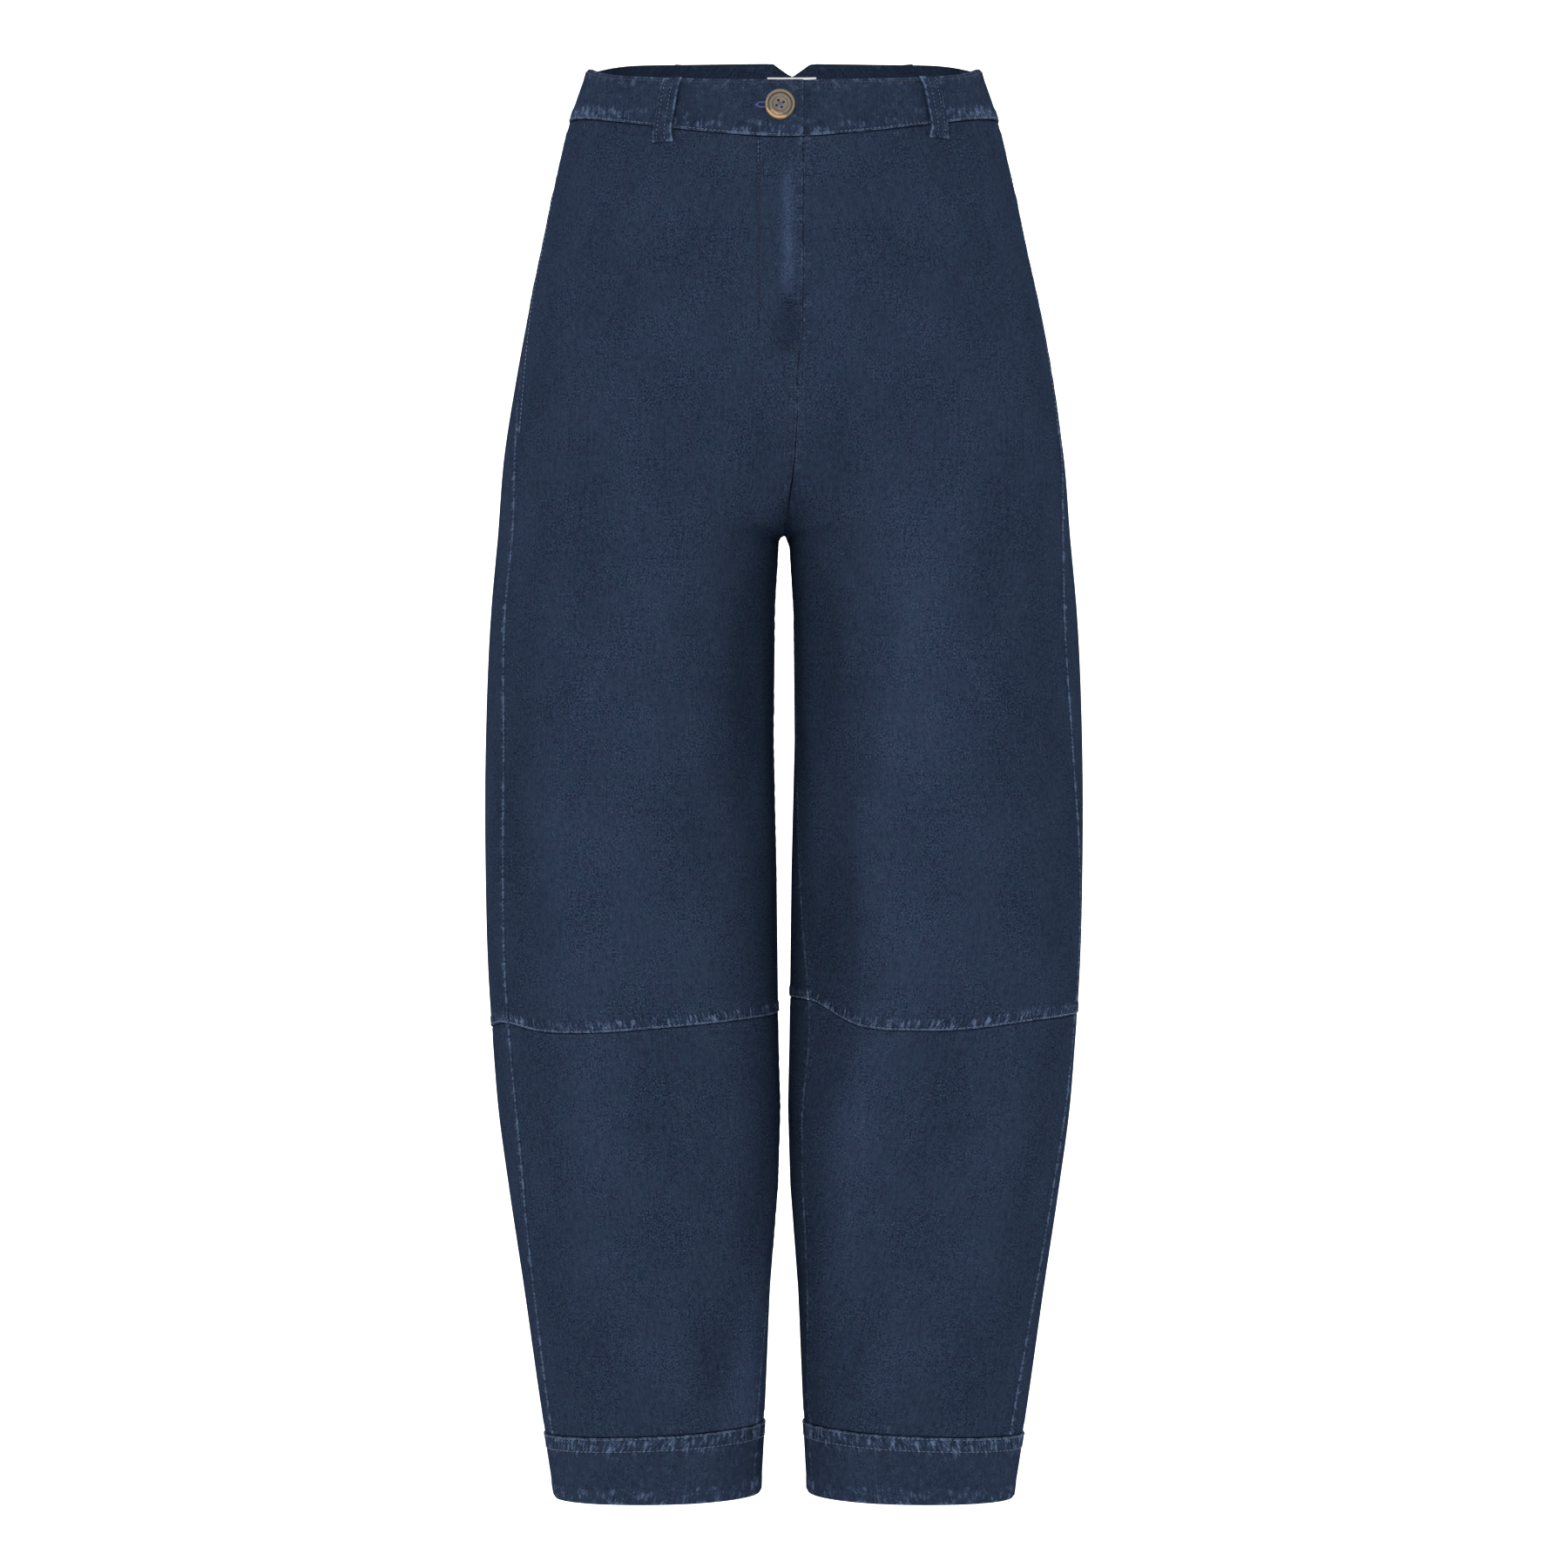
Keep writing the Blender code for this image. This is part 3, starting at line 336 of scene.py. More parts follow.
@dataclass
class GarmentForm:
    """The hollow form of the worn garment, by its horizontal sections."""

    waist_z: float = -0.0180
    fork_z: float = -0.3020
    fork_flat: float = 0.0015
    rise_height: float = 0.090
    hip_blend: float = 0.125
    turn_in: float = 95.0
    leg_power: float = 2.12
    half_gap: float = 0.0002
    centre_back_x: float = 0.0056
    cuff_top: float = -0.9145
    cuff_tilt: float = 0.0040
    hem: float = -0.9615
    hem_tilt: float = 0.0018

    def __post_init__(self) -> None:
        """Makes the curves that the sections follow."""
        self.outer = Curve(SECTIONS, "z", "outer")
        self.front = Curve(SECTIONS, "z", "front")
        self.back = Curve(SECTIONS, "z", "back")
        self.square = Curve(SECTIONS, "z", "square")
        self.front_seam = Curve(FRONT_SEAM, "z", "x")
        legs = sorted((row for row in SECTIONS if row.inner > 0), key=lambda row: row.z)
        self.inner_rows = np.array([(row.z, row.inner) for row in legs])
        self.seams = {
            (side, kind): Curve(SEAM_PLACES, "z", f"{side.name.lower()}_{kind}")
            for side in Side
            for kind in ("outseam", "inseam")
        }
        self.knees = {side: Curve(rows, "angle", "z") for side, rows in KNEES.items()}

    def inner_edge(self, z: Array) -> Array:
        """How far a leg's inner side lies from the middle plane.

        Args:
            z: Heights.

        Returns:
            Distances from the middle plane.
        """
        opening = np.clip((self.fork_z - z) / self.fork_flat, 0, 1)
        leg = np.interp(z, self.inner_rows[:, 0], self.inner_rows[:, 1])
        return self.half_gap + opening * (leg - self.half_gap)

    def body_shares(self, degrees: Array, z: Array) -> Array:
        """0 on the legs and 1 on the body, at angles round a leg.

        Args:
            degrees: Angles about the leg.
            z: Heights.

        Returns:
            A share for each point.
        """
        up = np.clip((z - self.fork_z) / self.rise_height, 0.0, 1.0)
        rounded = np.sqrt(1 - (1 - up) ** 2)
        soft = ease((z - self.fork_z) / self.hip_blend)
        near_fork = ease((np.abs(degrees) - self.turn_in) / (180 - self.turn_in))
        return soft + (rounded - soft) * near_fork

    def leg_ring(self, side: Side, degrees: Array, z: Array) -> Array:
        """Points on a leg's sections.

        Args:
            side: The leg.
            degrees: Angles about the leg, a row for each height.
            z: The heights, as a column.

        Returns:
            The points' X and Y.
        """
        outer = self.outer.at(z)
        cosine, sine = np.cos(np.radians(degrees)), np.sin(np.radians(degrees))
        reach = np.where(cosine > 0, outer / 2, self.inner_edge(z) - outer / 2)
        across = outer / 2 + reach * np.abs(cosine) ** (2 / self.leg_power)
        depth = np.where(sine > 0, -self.front.at(z), self.back.at(z))
        return np.stack([side.value * across, depth * np.abs(sine) ** (2 / self.leg_power)], axis=-1)

    def body_ring(self, side: Side, degrees: Array, z: Array) -> Array:
        """Points on the body's sections, at angles about the middle of the body.

        Args:
            side: The wearer's side.
            degrees: Angles about the middle of the body.
            z: Heights.

        Returns:
            The points' X and Y.
        """
        square = self.square.at(z)
        cosine, sine = np.cos(np.radians(degrees)), np.sin(np.radians(degrees))
        across = self.outer.at(z) * np.sign(cosine) * np.abs(cosine) ** (2 / square)
        depth = np.where(sine > 0, -self.front.at(z), self.back.at(z))
        return np.stack([side.value * across, depth * np.abs(sine) ** (2 / square)], axis=-1)

    def body_arc(self, side: Side, degrees: Array, z: Array, end_x: Array) -> Array:
        """Points on the body's sections over the same angles as a leg's, up to a middle seam.

        Args:
            side: The wearer's side.
            degrees: Angles about the leg.
            z: Heights.
            end_x: Where the middle seam lies.

        Returns:
            The points' X and Y.
        """
        outer, square = self.outer.at(z), self.square.at(z)
        round_part = outer / 2 * (1 + np.cos(np.radians(degrees)))
        to_middle = (np.abs(degrees) - 90) / 90
        straight = outer / 2 + (side.value * end_x - outer / 2) * to_middle
        across = np.where(np.abs(degrees) < 90, round_part, straight)
        along = (1 - np.clip(np.abs(across) / outer, 0.0, 1.0) ** square) ** (1 / square)
        depth = np.where(degrees > 0, -self.front.at(z), self.back.at(z))
        return np.stack([side.value * across, depth * along], axis=-1)

    def body_spot(self, x: float, z: float, face: Face) -> tuple[Array, Array]:
        """The point and outward direction of the body's section at a place across it.

        Args:
            x: A place across the body.
            z: The height.
            face: The front or the back.

        Returns:
            The point's X and Y, and the direction.
        """
        outer, square = float(self.outer.at(z)), float(self.square.at(z))
        depth = float(self.front.at(z) if face is Face.FRONT else self.back.at(z))
        share = abs(x) / outer
        along = (1 - share**square) ** (1 / square)
        sign = -1 if face is Face.FRONT else 1
        normal = np.array([
            math.copysign(share ** (square - 1) / outer, x),
            sign * along ** (square - 1) / depth,
        ])
        return np.array([x, sign * depth * along]), normal / np.linalg.norm(normal)

    def angle_of_x(self, side: Side, x: float, z: Array, face: Face) -> Array:
        """The angles about the body's middle at which its sections pass a place across the front or back.

        Args:
            side: The wearer's side.
            x: A place across the body.
            z: Heights.
            face: The front or the back.

        Returns:
            The angles.
        """
        share = side.value * x / self.outer.at(z)
        degrees = np.degrees(np.arccos(np.sign(share) * np.abs(share) ** (self.square.at(z) / 2)))
        return degrees if face is Face.FRONT else -degrees

    def centre_x(self, face: Face, z: Array) -> Array:
        """Where the middle seam lies across the front or the back.

        Args:
            face: The front or the back.
            z: Heights.

        Returns:
            Places across the body.
        """
        if face is Face.FRONT:
            return np.where(z < FRONT_SEAM[1].z, self.front_seam.at(z), FLY_EDGE_X)
        return self.centre_back_x * ease((z - self.fork_z) / self.rise_height)

    def outseam(self, side: Side, z: Array) -> Array:
        """The angles round a leg at which its outseam lies."""
        return self.seams[side, "outseam"].at(z)

    def inseam(self, side: Side, z: Array) -> Array:
        """The angles round a leg at which its inseam lies, or above the fork the middle seam."""
        return np.where(z >= self.fork_z, 180.0, self.seams[side, "inseam"].at(z))

    def crease_height(
        self, creases: Sequence[Crease], side: Side, degrees: Array, z: Array
    ) -> Array:
        """How far the creases of a table move the cloth out.

        Args:
            creases: The table.
            side: The leg.
            degrees: Angles about the leg.
            z: Heights, of the same shape or a column.

        Returns:
            The heights over the smooth form.
        """
        total = np.zeros(np.broadcast(degrees, z).shape)
        radius = self.front.at(z)
        for crease in creases:
            if crease.side is not side:
                continue
            run = (crease.top_z - z) / (crease.top_z - crease.low_z)
            strength = np.sin(math.pi * np.clip(run, 0, 1)) ** 1.2
            middle = crease.top_angle + run * (crease.low_angle - crease.top_angle)
            off = (degrees - middle + 180) % 360 - 180
            total += crease.height * strength * bell(np.radians(off) * radius / crease.half_width)
        return total

    def across_share(self, point: Array, z: Array) -> Array:
        """How far round to the side points lie: 0 at the middle and 1 at the side."""
        return np.minimum(1.0, np.abs(point[..., 0]) / self.outer.at(z))

    def risen_z(
        self, at_front: EdgeRise, at_back: EdgeRise, point: Array, z: Array
    ) -> Array:
        """The height of an edge that rises differently at the front and the back, near points of the body.

        Args:
            at_front: The edge at the front.
            at_back: The edge at the back.
            point: The points' X and Y.
            z: Heights.

        Returns:
            Heights.
        """
        share = self.across_share(point, z)
        front, back = (
            edge.middle + edge.rise * share**edge.power + edge.side_rise * share**edge.side_power
            for edge in (at_front, at_back)
        )
        return np.where(point[..., 1] < 0, front, back)

    def waist_seam_z(self, point: Array, z: Array) -> Array:
        """The height of the seam under the waistband, near points of the body's section."""
        return self.risen_z(WAIST_SEAM_FRONT, WAIST_SEAM_BACK, point, z)

    def band_top_z(self, point: Array, z: Array) -> Array:
        """The height of the waistband's top edge, near points of the body's section."""
        return self.risen_z(BAND_TOP_FRONT, BAND_TOP_BACK, point, z)

    def cuff_top_z(self, degrees: Array) -> Array:
        """The height of a cuff's top edge, which dips towards the outer side."""
        return self.cuff_top - self.cuff_tilt * np.cos(np.radians(degrees))

    def hem_z(self, degrees: Array) -> Array:
        """The height of a hem, which dips towards the outer side."""
        return self.hem - self.hem_tilt * np.cos(np.radians(degrees))


class Chart:
    """A stretch of the garment's outer surface, by height and by share of its width."""

    OVER = 5
    SHARES = np.arange(-OVER, 181 + OVER) / 180

    def __init__(
        self,
        levels: Array,
        degrees: Array,
        points: Array,
        turn: int,
        raised: Callable[[Array, Array], Array] | None = None,
    ) -> None:
        """Measures the surface along each level.

        Args:
            levels: Rising heights.
            degrees: Angles, a row for each level, over Chart.SHARES.
            points: The points' X and Y at these angles.
            turn: 1 or -1, so that normals point outwards.
            raised: How far folds move the surface out, from angles and heights.
        """
        self.levels = levels
        self.turn = turn
        if raised is not None:
            normals, _ = self._measure(points)
            points = points + normals * raised(degrees, levels[:, None])[..., None]
        normals, run = self._measure(points)
        self.length = run[:, -1 - self.OVER]
        even = self.SHARES[None, :] * self.length[:, None]
        columns = [points[..., 0], points[..., 1], normals[..., 0], normals[..., 1], degrees]
        self.table = np.stack(
            [
                np.stack([np.interp(at, r, row) for at, r, row in zip(even, run, column)])
                for column in columns
            ],
            axis=-1,
        )

    def _measure(self, points: Array) -> tuple[Array, Array]:
        """The outward normals, and the length run from the first edge.

        Args:
            points: Points, a row for each level.

        Returns:
            The normals and the lengths.
        """
        steps = np.linalg.norm(np.diff(points, axis=1), axis=-1)
        run = np.concatenate([np.zeros((len(points), 1)), np.cumsum(steps, axis=1)], axis=1)
        run = run - run[:, self.OVER][:, None]
        tangents = np.stack([
            np.stack([np.gradient(row[:, k], r) for k in (0, 1)], axis=-1) for row, r in zip(points, run)
        ])
        tangents /= np.linalg.norm(tangents, axis=-1)[..., None]
        return self.turn * np.stack([-tangents[..., 1], tangents[..., 0]], axis=-1), run

    def width(self, z: Array) -> Array:
        """The length from the first edge to the last at heights."""
        return np.interp(z, self.levels, self.length)

    def place(self, at: Array, z: Array) -> tuple[Array, Array, Array]:
        """Where the surface lies.

        Args:
            at: Lengths from the first edge.
            z: Heights, of the same shape.

        Returns:
            The points' X and Y, their outward directions, and their angles.
        """
        i = np.clip(np.searchsorted(self.levels, z) - 1, 0, len(self.levels) - 2)
        up = np.clip((z - self.levels[i]) / (self.levels[i + 1] - self.levels[i]), 0, 1)[..., None]
        column = (at / self.width(z) * 180 + self.OVER).clip(0, len(self.SHARES) - 1.001)
        j = column.astype(int)
        on = (column - j)[..., None]
        low = self.table[i, j] * (1 - on) + self.table[i, j + 1] * on
        high = self.table[i + 1, j] * (1 - on) + self.table[i + 1, j + 1] * on
        found = low + (high - low) * up
        normal = found[..., 2:4] / np.linalg.norm(found[..., 2:4], axis=-1)[..., None]
        return found[..., :2], normal, found[..., 4]

    def lengths(self, columns: Callable[[Array], Array], z: Array) -> Array:
        """Where a piece's columns lie.

        Args:
            columns: The columns' lengths from the first edge, for widths given as a column.
            z: A height for each column, or rows of such heights.

        Returns:
            Lengths from the first edge, of the same shape as the heights.
        """
        if z.ndim > 1:
            return np.stack([self.lengths(columns, row) for row in z])
        index = np.arange(len(z))
        return columns(self.width(z)[:, None])[index, index]

    def edge_heights(self, columns: Callable[[Array], Array], edge: Callable, start: float) -> Array:
        """The heights at which columns meet an edge that rises and falls.

        Args:
            columns: The columns' lengths from the first edge, for widths given as a column.
            edge: The edge's height from points, angles and heights.
            start: A height near the edge.

        Returns:
            A height for each column.
        """
        z = np.full(columns(np.array([[1.0]])).shape[1], start)
        for _ in range(8):
            point, _, degrees = self.place(self.lengths(columns, z), z)
            z = edge(point, degrees, z)
        return z


def level_heights(form: GarmentForm, low: float, top: float) -> Array:
    """Heights for a chart: even, but closer just over the fork, where the form turns fast.

    Args:
        form: The garment's form.
        low: The lowest height.
        top: The highest height.

    Returns:
        Rising heights.
    """
    even = np.arange(low, top, 0.0025)
    rise = form.fork_z + form.rise_height * np.linspace(0, 1, 60) ** 2
    near = np.concatenate([[form.fork_z - form.fork_flat], rise])
    kept = even[(even < near[0] - 0.001) | (even > near[-1] + 0.001)]
    return np.sort(np.concatenate([kept, near[(near > low) & (near < top)]]))


def panel_chart(form: GarmentForm, side: Side, face: Face, low: float, top: float) -> Chart:
    """The outer surface of a front or back, from outseam to inseam or middle seam.

    Args:
        form: The garment's form.
        side: The leg.
        face: The front or the back.
        low: The lowest height.
        top: The highest height.

    Returns:
        The chart.
    """
    levels = level_heights(form, low, top)
    z = levels[:, None]
    last = form.inseam(side, z) - (0 if face is Face.FRONT else 360)
    degrees = form.outseam(side, z) + Chart.SHARES[None, :] * (last - form.outseam(side, z))
    shares = form.body_shares(degrees, z)[..., None]
    points = (1 - shares) * form.leg_ring(side, degrees, z)
    points += shares * form.body_arc(side, degrees, z, form.centre_x(face, z))
    turn = side.value if face is Face.FRONT else -side.value

    def raised(angles: Array, heights: Array) -> Array:
        """The folds and creases of this leg."""
        return form.crease_height(FOLDS + CREASES, side, angles, heights)

    return Chart(levels, degrees, points, turn, raised)


def cuff_chart(form: GarmentForm, side: Side) -> Chart:
    """A leg's whole outer surface near the hem, from the inseam round the front and back to it.

    Args:
        form: The garment's form.
        side: The leg.

    Returns:
        The chart.
    """
    levels = np.arange(-0.975, -0.895, 0.002)
    z = levels[:, None]
    degrees = form.inseam(side, z) - 360 * Chart.SHARES[None, :]

    def raised(angles: Array, heights: Array) -> Array:
        """The folds of this leg."""
        return form.crease_height(FOLDS, side, angles, heights)

    return Chart(levels, degrees, form.leg_ring(side, degrees, z), -side.value, raised)


def band_chart(form: GarmentForm, side: Side, front_x: float, back_x: float) -> Chart:
    """The body's outer surface at the waist, from the front end round the side to the middle back.

    Args:
        form: The garment's form.
        side: The wearer's side.
        front_x: Where the front end lies across the body.
        back_x: Where the back end lies across it.

    Returns:
        The chart.
    """
    levels = np.arange(-0.060, 0.056, 0.002)
    z = levels[:, None]
    first = form.angle_of_x(side, front_x, z, Face.FRONT)
    last = form.angle_of_x(side, back_x, z, Face.BACK)
    degrees = first + Chart.SHARES[None, :] * (last - first)
    return Chart(levels, degrees, form.body_ring(side, degrees, z), -side.value)


# Node trees


class Term:
    """A node's output that takes part in Python sums and products."""

    def __init__(self, paint: "Paint", socket: bpy.types.NodeSocket) -> None:
        """Wraps one output socket."""
        self.paint = paint
        self.socket = socket

    def _with(self, operation: str, first: object, second: object = None) -> "Term":
        """The result of a Math node on one or two values."""
        values = {0: first} if second is None else {0: first, 1: second}
        return self.paint.add("ShaderNodeMath", {"operation": operation}, values)

    def __add__(self, other: object) -> "Term":
        """self + other."""
        return self._with("ADD", self, other)

    __radd__ = __add__

    def __sub__(self, other: object) -> "Term":
        """self - other."""
        return self._with("SUBTRACT", self, other)

    def __rsub__(self, other: object) -> "Term":
        """other - self."""
        return self._with("SUBTRACT", other, self)

    def __mul__(self, other: object) -> "Term":
        """self * other."""
        return self._with("MULTIPLY", self, other)

    __rmul__ = __mul__

    def power(self, exponent: float) -> "Term":
        """self to a power."""
        return self._with("POWER", self, exponent)

    def sine(self) -> "Term":
        """The sine of self."""
        return self._with("SINE", self)

    def absolute(self) -> "Term":
        """self without its sign."""
        return self._with("ABSOLUTE", self)

    def clamp(self) -> "Term":
        """self held between 0 and 1."""
        return self.paint.add("ShaderNodeClamp", {}, {0: self})

    def between(self, low: float, high: float) -> "Term":
        """0 below the first value, 1 above the second, and soft between them."""
        settings = {"interpolation_type": "SMOOTHSTEP"}
        return self.paint.add("ShaderNodeMapRange", settings, {0: self, 1: low, 2: high, 3: 0.0, 4: 1.0})


class Paint:
    """The node tree of one material, with its Principled shader."""

    def __init__(self, name: str) -> None:
        """Makes the material.

        Args:
            name: The finish's name.
        """
        self.material = bpy.data.materials.new(name)
        self.material.use_nodes = True
        self.tree = self.material.node_tree
        self.shader = self.tree.nodes["Principled BSDF"]

    def add(self, kind: str, settings: dict, inputs: dict, output: int | str = 0) -> Term:
        """Adds a node.

        Args:
            kind: The node's type.
            settings: Its properties, set before its sockets.
            inputs: Values or terms by socket name or number.
            output: Which output to return.

        Returns:
            The node's output as a term.
        """
        node = self.tree.nodes.new(kind)
        for name, value in settings.items():
            setattr(node, name, value)
        for key, value in inputs.items():
            self.feed(node.inputs[key], value)
        return Term(self, node.outputs[output])

    def feed(self, socket: bpy.types.NodeSocket, value: object) -> None:
        """Links a term to a socket, or sets its value.

        Args:
            socket: The socket.
            value: A term or a plain value.
        """
        if isinstance(value, Term):
            self.tree.links.new(value.socket, socket)
        elif isinstance(value, tuple) and len(value) == 3 and socket.type == "RGBA":
            socket.default_value = (*value, 1.0)
        else:
            socket.default_value = value

    def mix(self, factor: object, first: object, second: object) -> Term:
        """Mixes two colours."""
        settings = {"data_type": "RGBA", "clamp_factor": True}
        return self.add("ShaderNodeMix", settings, {0: factor, 6: first, 7: second}, 2)

    def noise(self, vector: Term, scale: float, detail: float = 2.0, roughness: float = 0.5) -> Term:
        """Noise from 0 to 1 along a vector."""
        inputs = {"Vector": vector, "Scale": scale, "Detail": detail, "Roughness": roughness}
        return self.add("ShaderNodeTexNoise", {}, inputs)

    def stretch(self, vector: Term, scale: Triple) -> Term:
        """A vector with its axes stretched."""
        return self.add("ShaderNodeVectorMath", {"operation": "MULTIPLY"}, {0: vector, 1: scale})

    def attribute(self, name: str) -> Term:
        """A value that the mesh holds."""
        return self.add("ShaderNodeAttribute", {"attribute_name": name}, {}, "Fac")

    def bump(self, height: Term, distance: float, strength: float = 1.0) -> None:
        """Gives the shader a bump from a height."""
        inputs = {"Height": height, "Distance": distance, "Strength": strength}
        self.feed(self.shader.inputs["Normal"], self.add("ShaderNodeBump", {}, inputs))

    def set(self, **values: object) -> None:
        """Sets or links the shader's sockets, named with _ for each space."""
        for name, value in values.items():
            self.feed(self.shader.inputs[name.replace("_", " ").title().replace("Ior", "IOR")], value)


# Finishes


@dataclass(frozen=True)
class DenimFinish:
    """Dark indigo twill with pale flecks, between violet and teal, paler where it is rubbed, and its colour
    scaled by the light and shade painted on the mesh.
    """

    name: str = "denim"
    violet: Triple = (0.0078, 0.0103, 0.0244)
    teal: Triple = (0.0062, 0.0126, 0.0226)
    pale: Triple = (0.0294, 0.0450, 0.0800)
    fleck: Triple = (0.0700, 0.0980, 0.1740)
    rubbed: Triple = (0.0800, 0.1180, 0.2000)
    fleck_size: float = 0.0011
    twill_pitch: float = 0.0020
    rope_pitch: float = 0.0030
    pucker_size: float = 0.0019
    patch_size: float = 0.0060
    hue_size: float = 0.0120
    grain_size: float = 0.0300
    wash_size: float = 0.0450
    patches: float = 0.0
    speckle: float = 1.0
    roughness: float = 0.9

    def make(self) -> bpy.types.Material:
        """Makes the material.

        Returns:
            The material.
        """
        paint = Paint(self.name)
        cloth = paint.add("ShaderNodeUVMap", {"uv_map": CLOTH_MAP}, {})
        spot = paint.add("ShaderNodeVectorMath", {"operation": "SCALE"}, {0: cloth, "Scale": 1 / MAP_SCALE})
        across = paint.add("ShaderNodeSeparateXYZ", {}, {0: spot})
        up = Term(paint, across.socket.node.outputs[1])
        turn = 2 * math.pi
        flecks = paint.noise(paint.stretch(spot, (1.0, 0.8, 1.0)), 1 / self.fleck_size, 2.0, 0.7)
        coarse = paint.noise(paint.stretch(spot, (1.0, 0.7, 1.0)), 0.4 / self.fleck_size, 1.0)
        threads = paint.noise(paint.stretch(spot, (1.0, 0.08, 1.0)), 0.9 / self.fleck_size, 1.0)
        twill = ((across * 0.82 + up * 0.57) * (turn / self.twill_pitch)).sine()
        rope = ((across + up) * (turn / self.rope_pitch)).sine()
        patch = paint.noise(spot, 1 / self.patch_size, 3.0, 0.6).between(0.42, 0.64)
        hue = paint.noise(spot, 1 / self.hue_size, 3.0, 0.6).between(0.40, 0.60)
        grain = paint.noise(spot, 1 / self.grain_size, 3.0, 0.6).between(0.36, 0.62)
        wash = paint.noise(paint.stretch(spot, (1.0, 0.5, 1.0)), 1 / self.wash_size, 3.0, 0.55)
        weave = (flecks - 0.5) * (grain * 2.2 + 0.9) * self.speckle
        weave = weave + (coarse - 0.5) * 0.55 + (threads - 0.5) * 0.45
        weave = weave + twill * 0.04 + (wash - 0.5) * 0.5 + 0.42
        puckers = self.puckers(paint, across, up)
        deep = paint.mix(hue, self.violet, self.teal)
        base = paint.mix(weave, deep, self.pale)
        base = paint.mix(flecks.between(0.63, 0.80) * (grain * 0.6 + 0.1) * self.speckle, base, self.fleck)
        worn = paint.attribute(WEAR) + patch * self.patches + puckers * 0.24
        wear = worn * (flecks * 1.7 + patch * 0.8 + rope * 0.22 - 0.30)
        base = paint.mix(wear.between(0.06, 1.0), base, self.rubbed)
        # The painted light and shade from the mesh scale the colour, and the seams' gathers are paler on
        # their ridges.
        painted_light_and_puckers = paint.attribute(PAINTED_LIGHT) * 0.65 + puckers * 0.2 + 1.0
        paint.set(
            base_color=paint.add("ShaderNodeVectorMath", {"operation": "SCALE"}, {0: base, "Scale": painted_light_and_puckers}),
            roughness=self.roughness,
            specular_ior_level=0.0,
        )
        paint.bump(flecks * 0.9 + threads * 0.3 + twill * 0.1 + puckers * 1.4, 0.00025, 0.7)
        return paint.material

    def puckers(self, paint: Paint, across: Term, up: Term) -> Term:
        """The fine gathers beside seams, from -1 between them to 1 on them.

        Args:
            paint: The material's nodes.
            across: Lengths across the cloth.
            up: Lengths up the cloth.

        Returns:
            Leaning gathers where the mesh's value is above 0, and level ones where it is below 0.
        """
        gathered = paint.attribute(GATHER)
        leaning = paint.add("ShaderNodeCombineXYZ", {}, {0: across + up * 0.15, 1: up * 0.22})
        level = paint.add("ShaderNodeCombineXYZ", {}, {0: across * 0.22, 1: up})
        both = [
            (paint.noise(vector, 1 / self.pucker_size, 1.0).between(0.38, 0.64) - 0.45) * 2.0 * amount.clamp()
            for vector, amount in ((leaning, gathered), (level, gathered * -1.0))
        ]
        return both[0] + both[1]


@dataclass(frozen=True)
class ThreadFinish:
    """Blue sewing thread."""

    name: str = "thread"
    colour: Triple = (0.105, 0.150, 0.250)
    roughness: float = 0.65

    def make(self) -> bpy.types.Material:
        """Makes the material.

        Returns:
            The material.
        """
        paint = Paint(self.name)
        place = paint.add("ShaderNodeTexCoord", {}, {}, "Object")
        worn = paint.noise(place, 420.0, 2.0)
        dark = tuple(0.45 * part for part in self.colour)
        paint.set(base_color=paint.mix(worn.between(0.35, 0.65), dark, self.colour), roughness=self.roughness)
        return paint.material


@dataclass(frozen=True)
class HornFinish:
    """Polished horn-like resin: grey brown with a pale cream ring painted on the rim as a highlight, a dark
    ring painted as shade in the groove, and a tan patch towards the bottom.
    """

    name: str = "horn"
    grey: Triple = (0.085, 0.074, 0.060)
    brown: Triple = (0.120, 0.086, 0.054)
    # The pale ring painted on the rim as a highlight.
    rim: Triple = (0.300, 0.240, 0.160)
    tan: Triple = (0.420, 0.250, 0.130)
    # The dark ring painted as shade in the groove.
    groove: Triple = (0.022, 0.016, 0.012)
    centre: Triple = (0.0, 0.0, 0.0)
    groove_radius: float = 0.0080
    rim_radius: float = 0.0089
    rim_half: float = 0.0003

    def make(self) -> bpy.types.Material:
        """Makes the material.

        Returns:
            The material.
        """
        paint = Paint(self.name)
        place = paint.add("ShaderNodeTexCoord", {}, {}, "Object")
        shift = tuple(-part for part in self.centre)
        near = paint.add("ShaderNodeVectorMath", {"operation": "ADD"}, {0: place, 1: shift})
        across = paint.add("ShaderNodeSeparateXYZ", {}, {0: near})
        up = Term(paint, across.socket.node.outputs[2])
        streaks = paint.noise(paint.stretch(near, (1.0, 1.0, 0.6)), 520.0, 3.0, 0.6)
        radius = (across * across + up * up).power(0.5)
        bottom = (up * -1.0 - across * 0.35 + streaks * 0.0040).between(0.0074, 0.0092)
        # Painted shade: a dark ring down the step into the button's middle.
        line = (1.0 - (radius - self.groove_radius).absolute() * 2600.0).clamp()
        # Painted highlight: a pale ring on the rim.
        edge = (1.0 - (radius - self.rim_radius).absolute() * (1 / self.rim_half)).clamp()
        outside = radius.between(self.rim_radius + self.rim_half, self.rim_radius + 2 * self.rim_half)
        body = paint.mix(streaks.between(0.38, 0.66), self.grey, self.brown)
        body = paint.mix(outside, body, self.brown)
        body = paint.mix(edge * (streaks * 0.6 + 0.35), body, self.rim)
        body = paint.mix(bottom * 0.85, body, self.tan)
        paint.set(
            base_color=paint.mix(line * 0.75, body, self.groove),
            roughness=0.38,
            specular_ior_level=0.25,
        )
        return paint.material


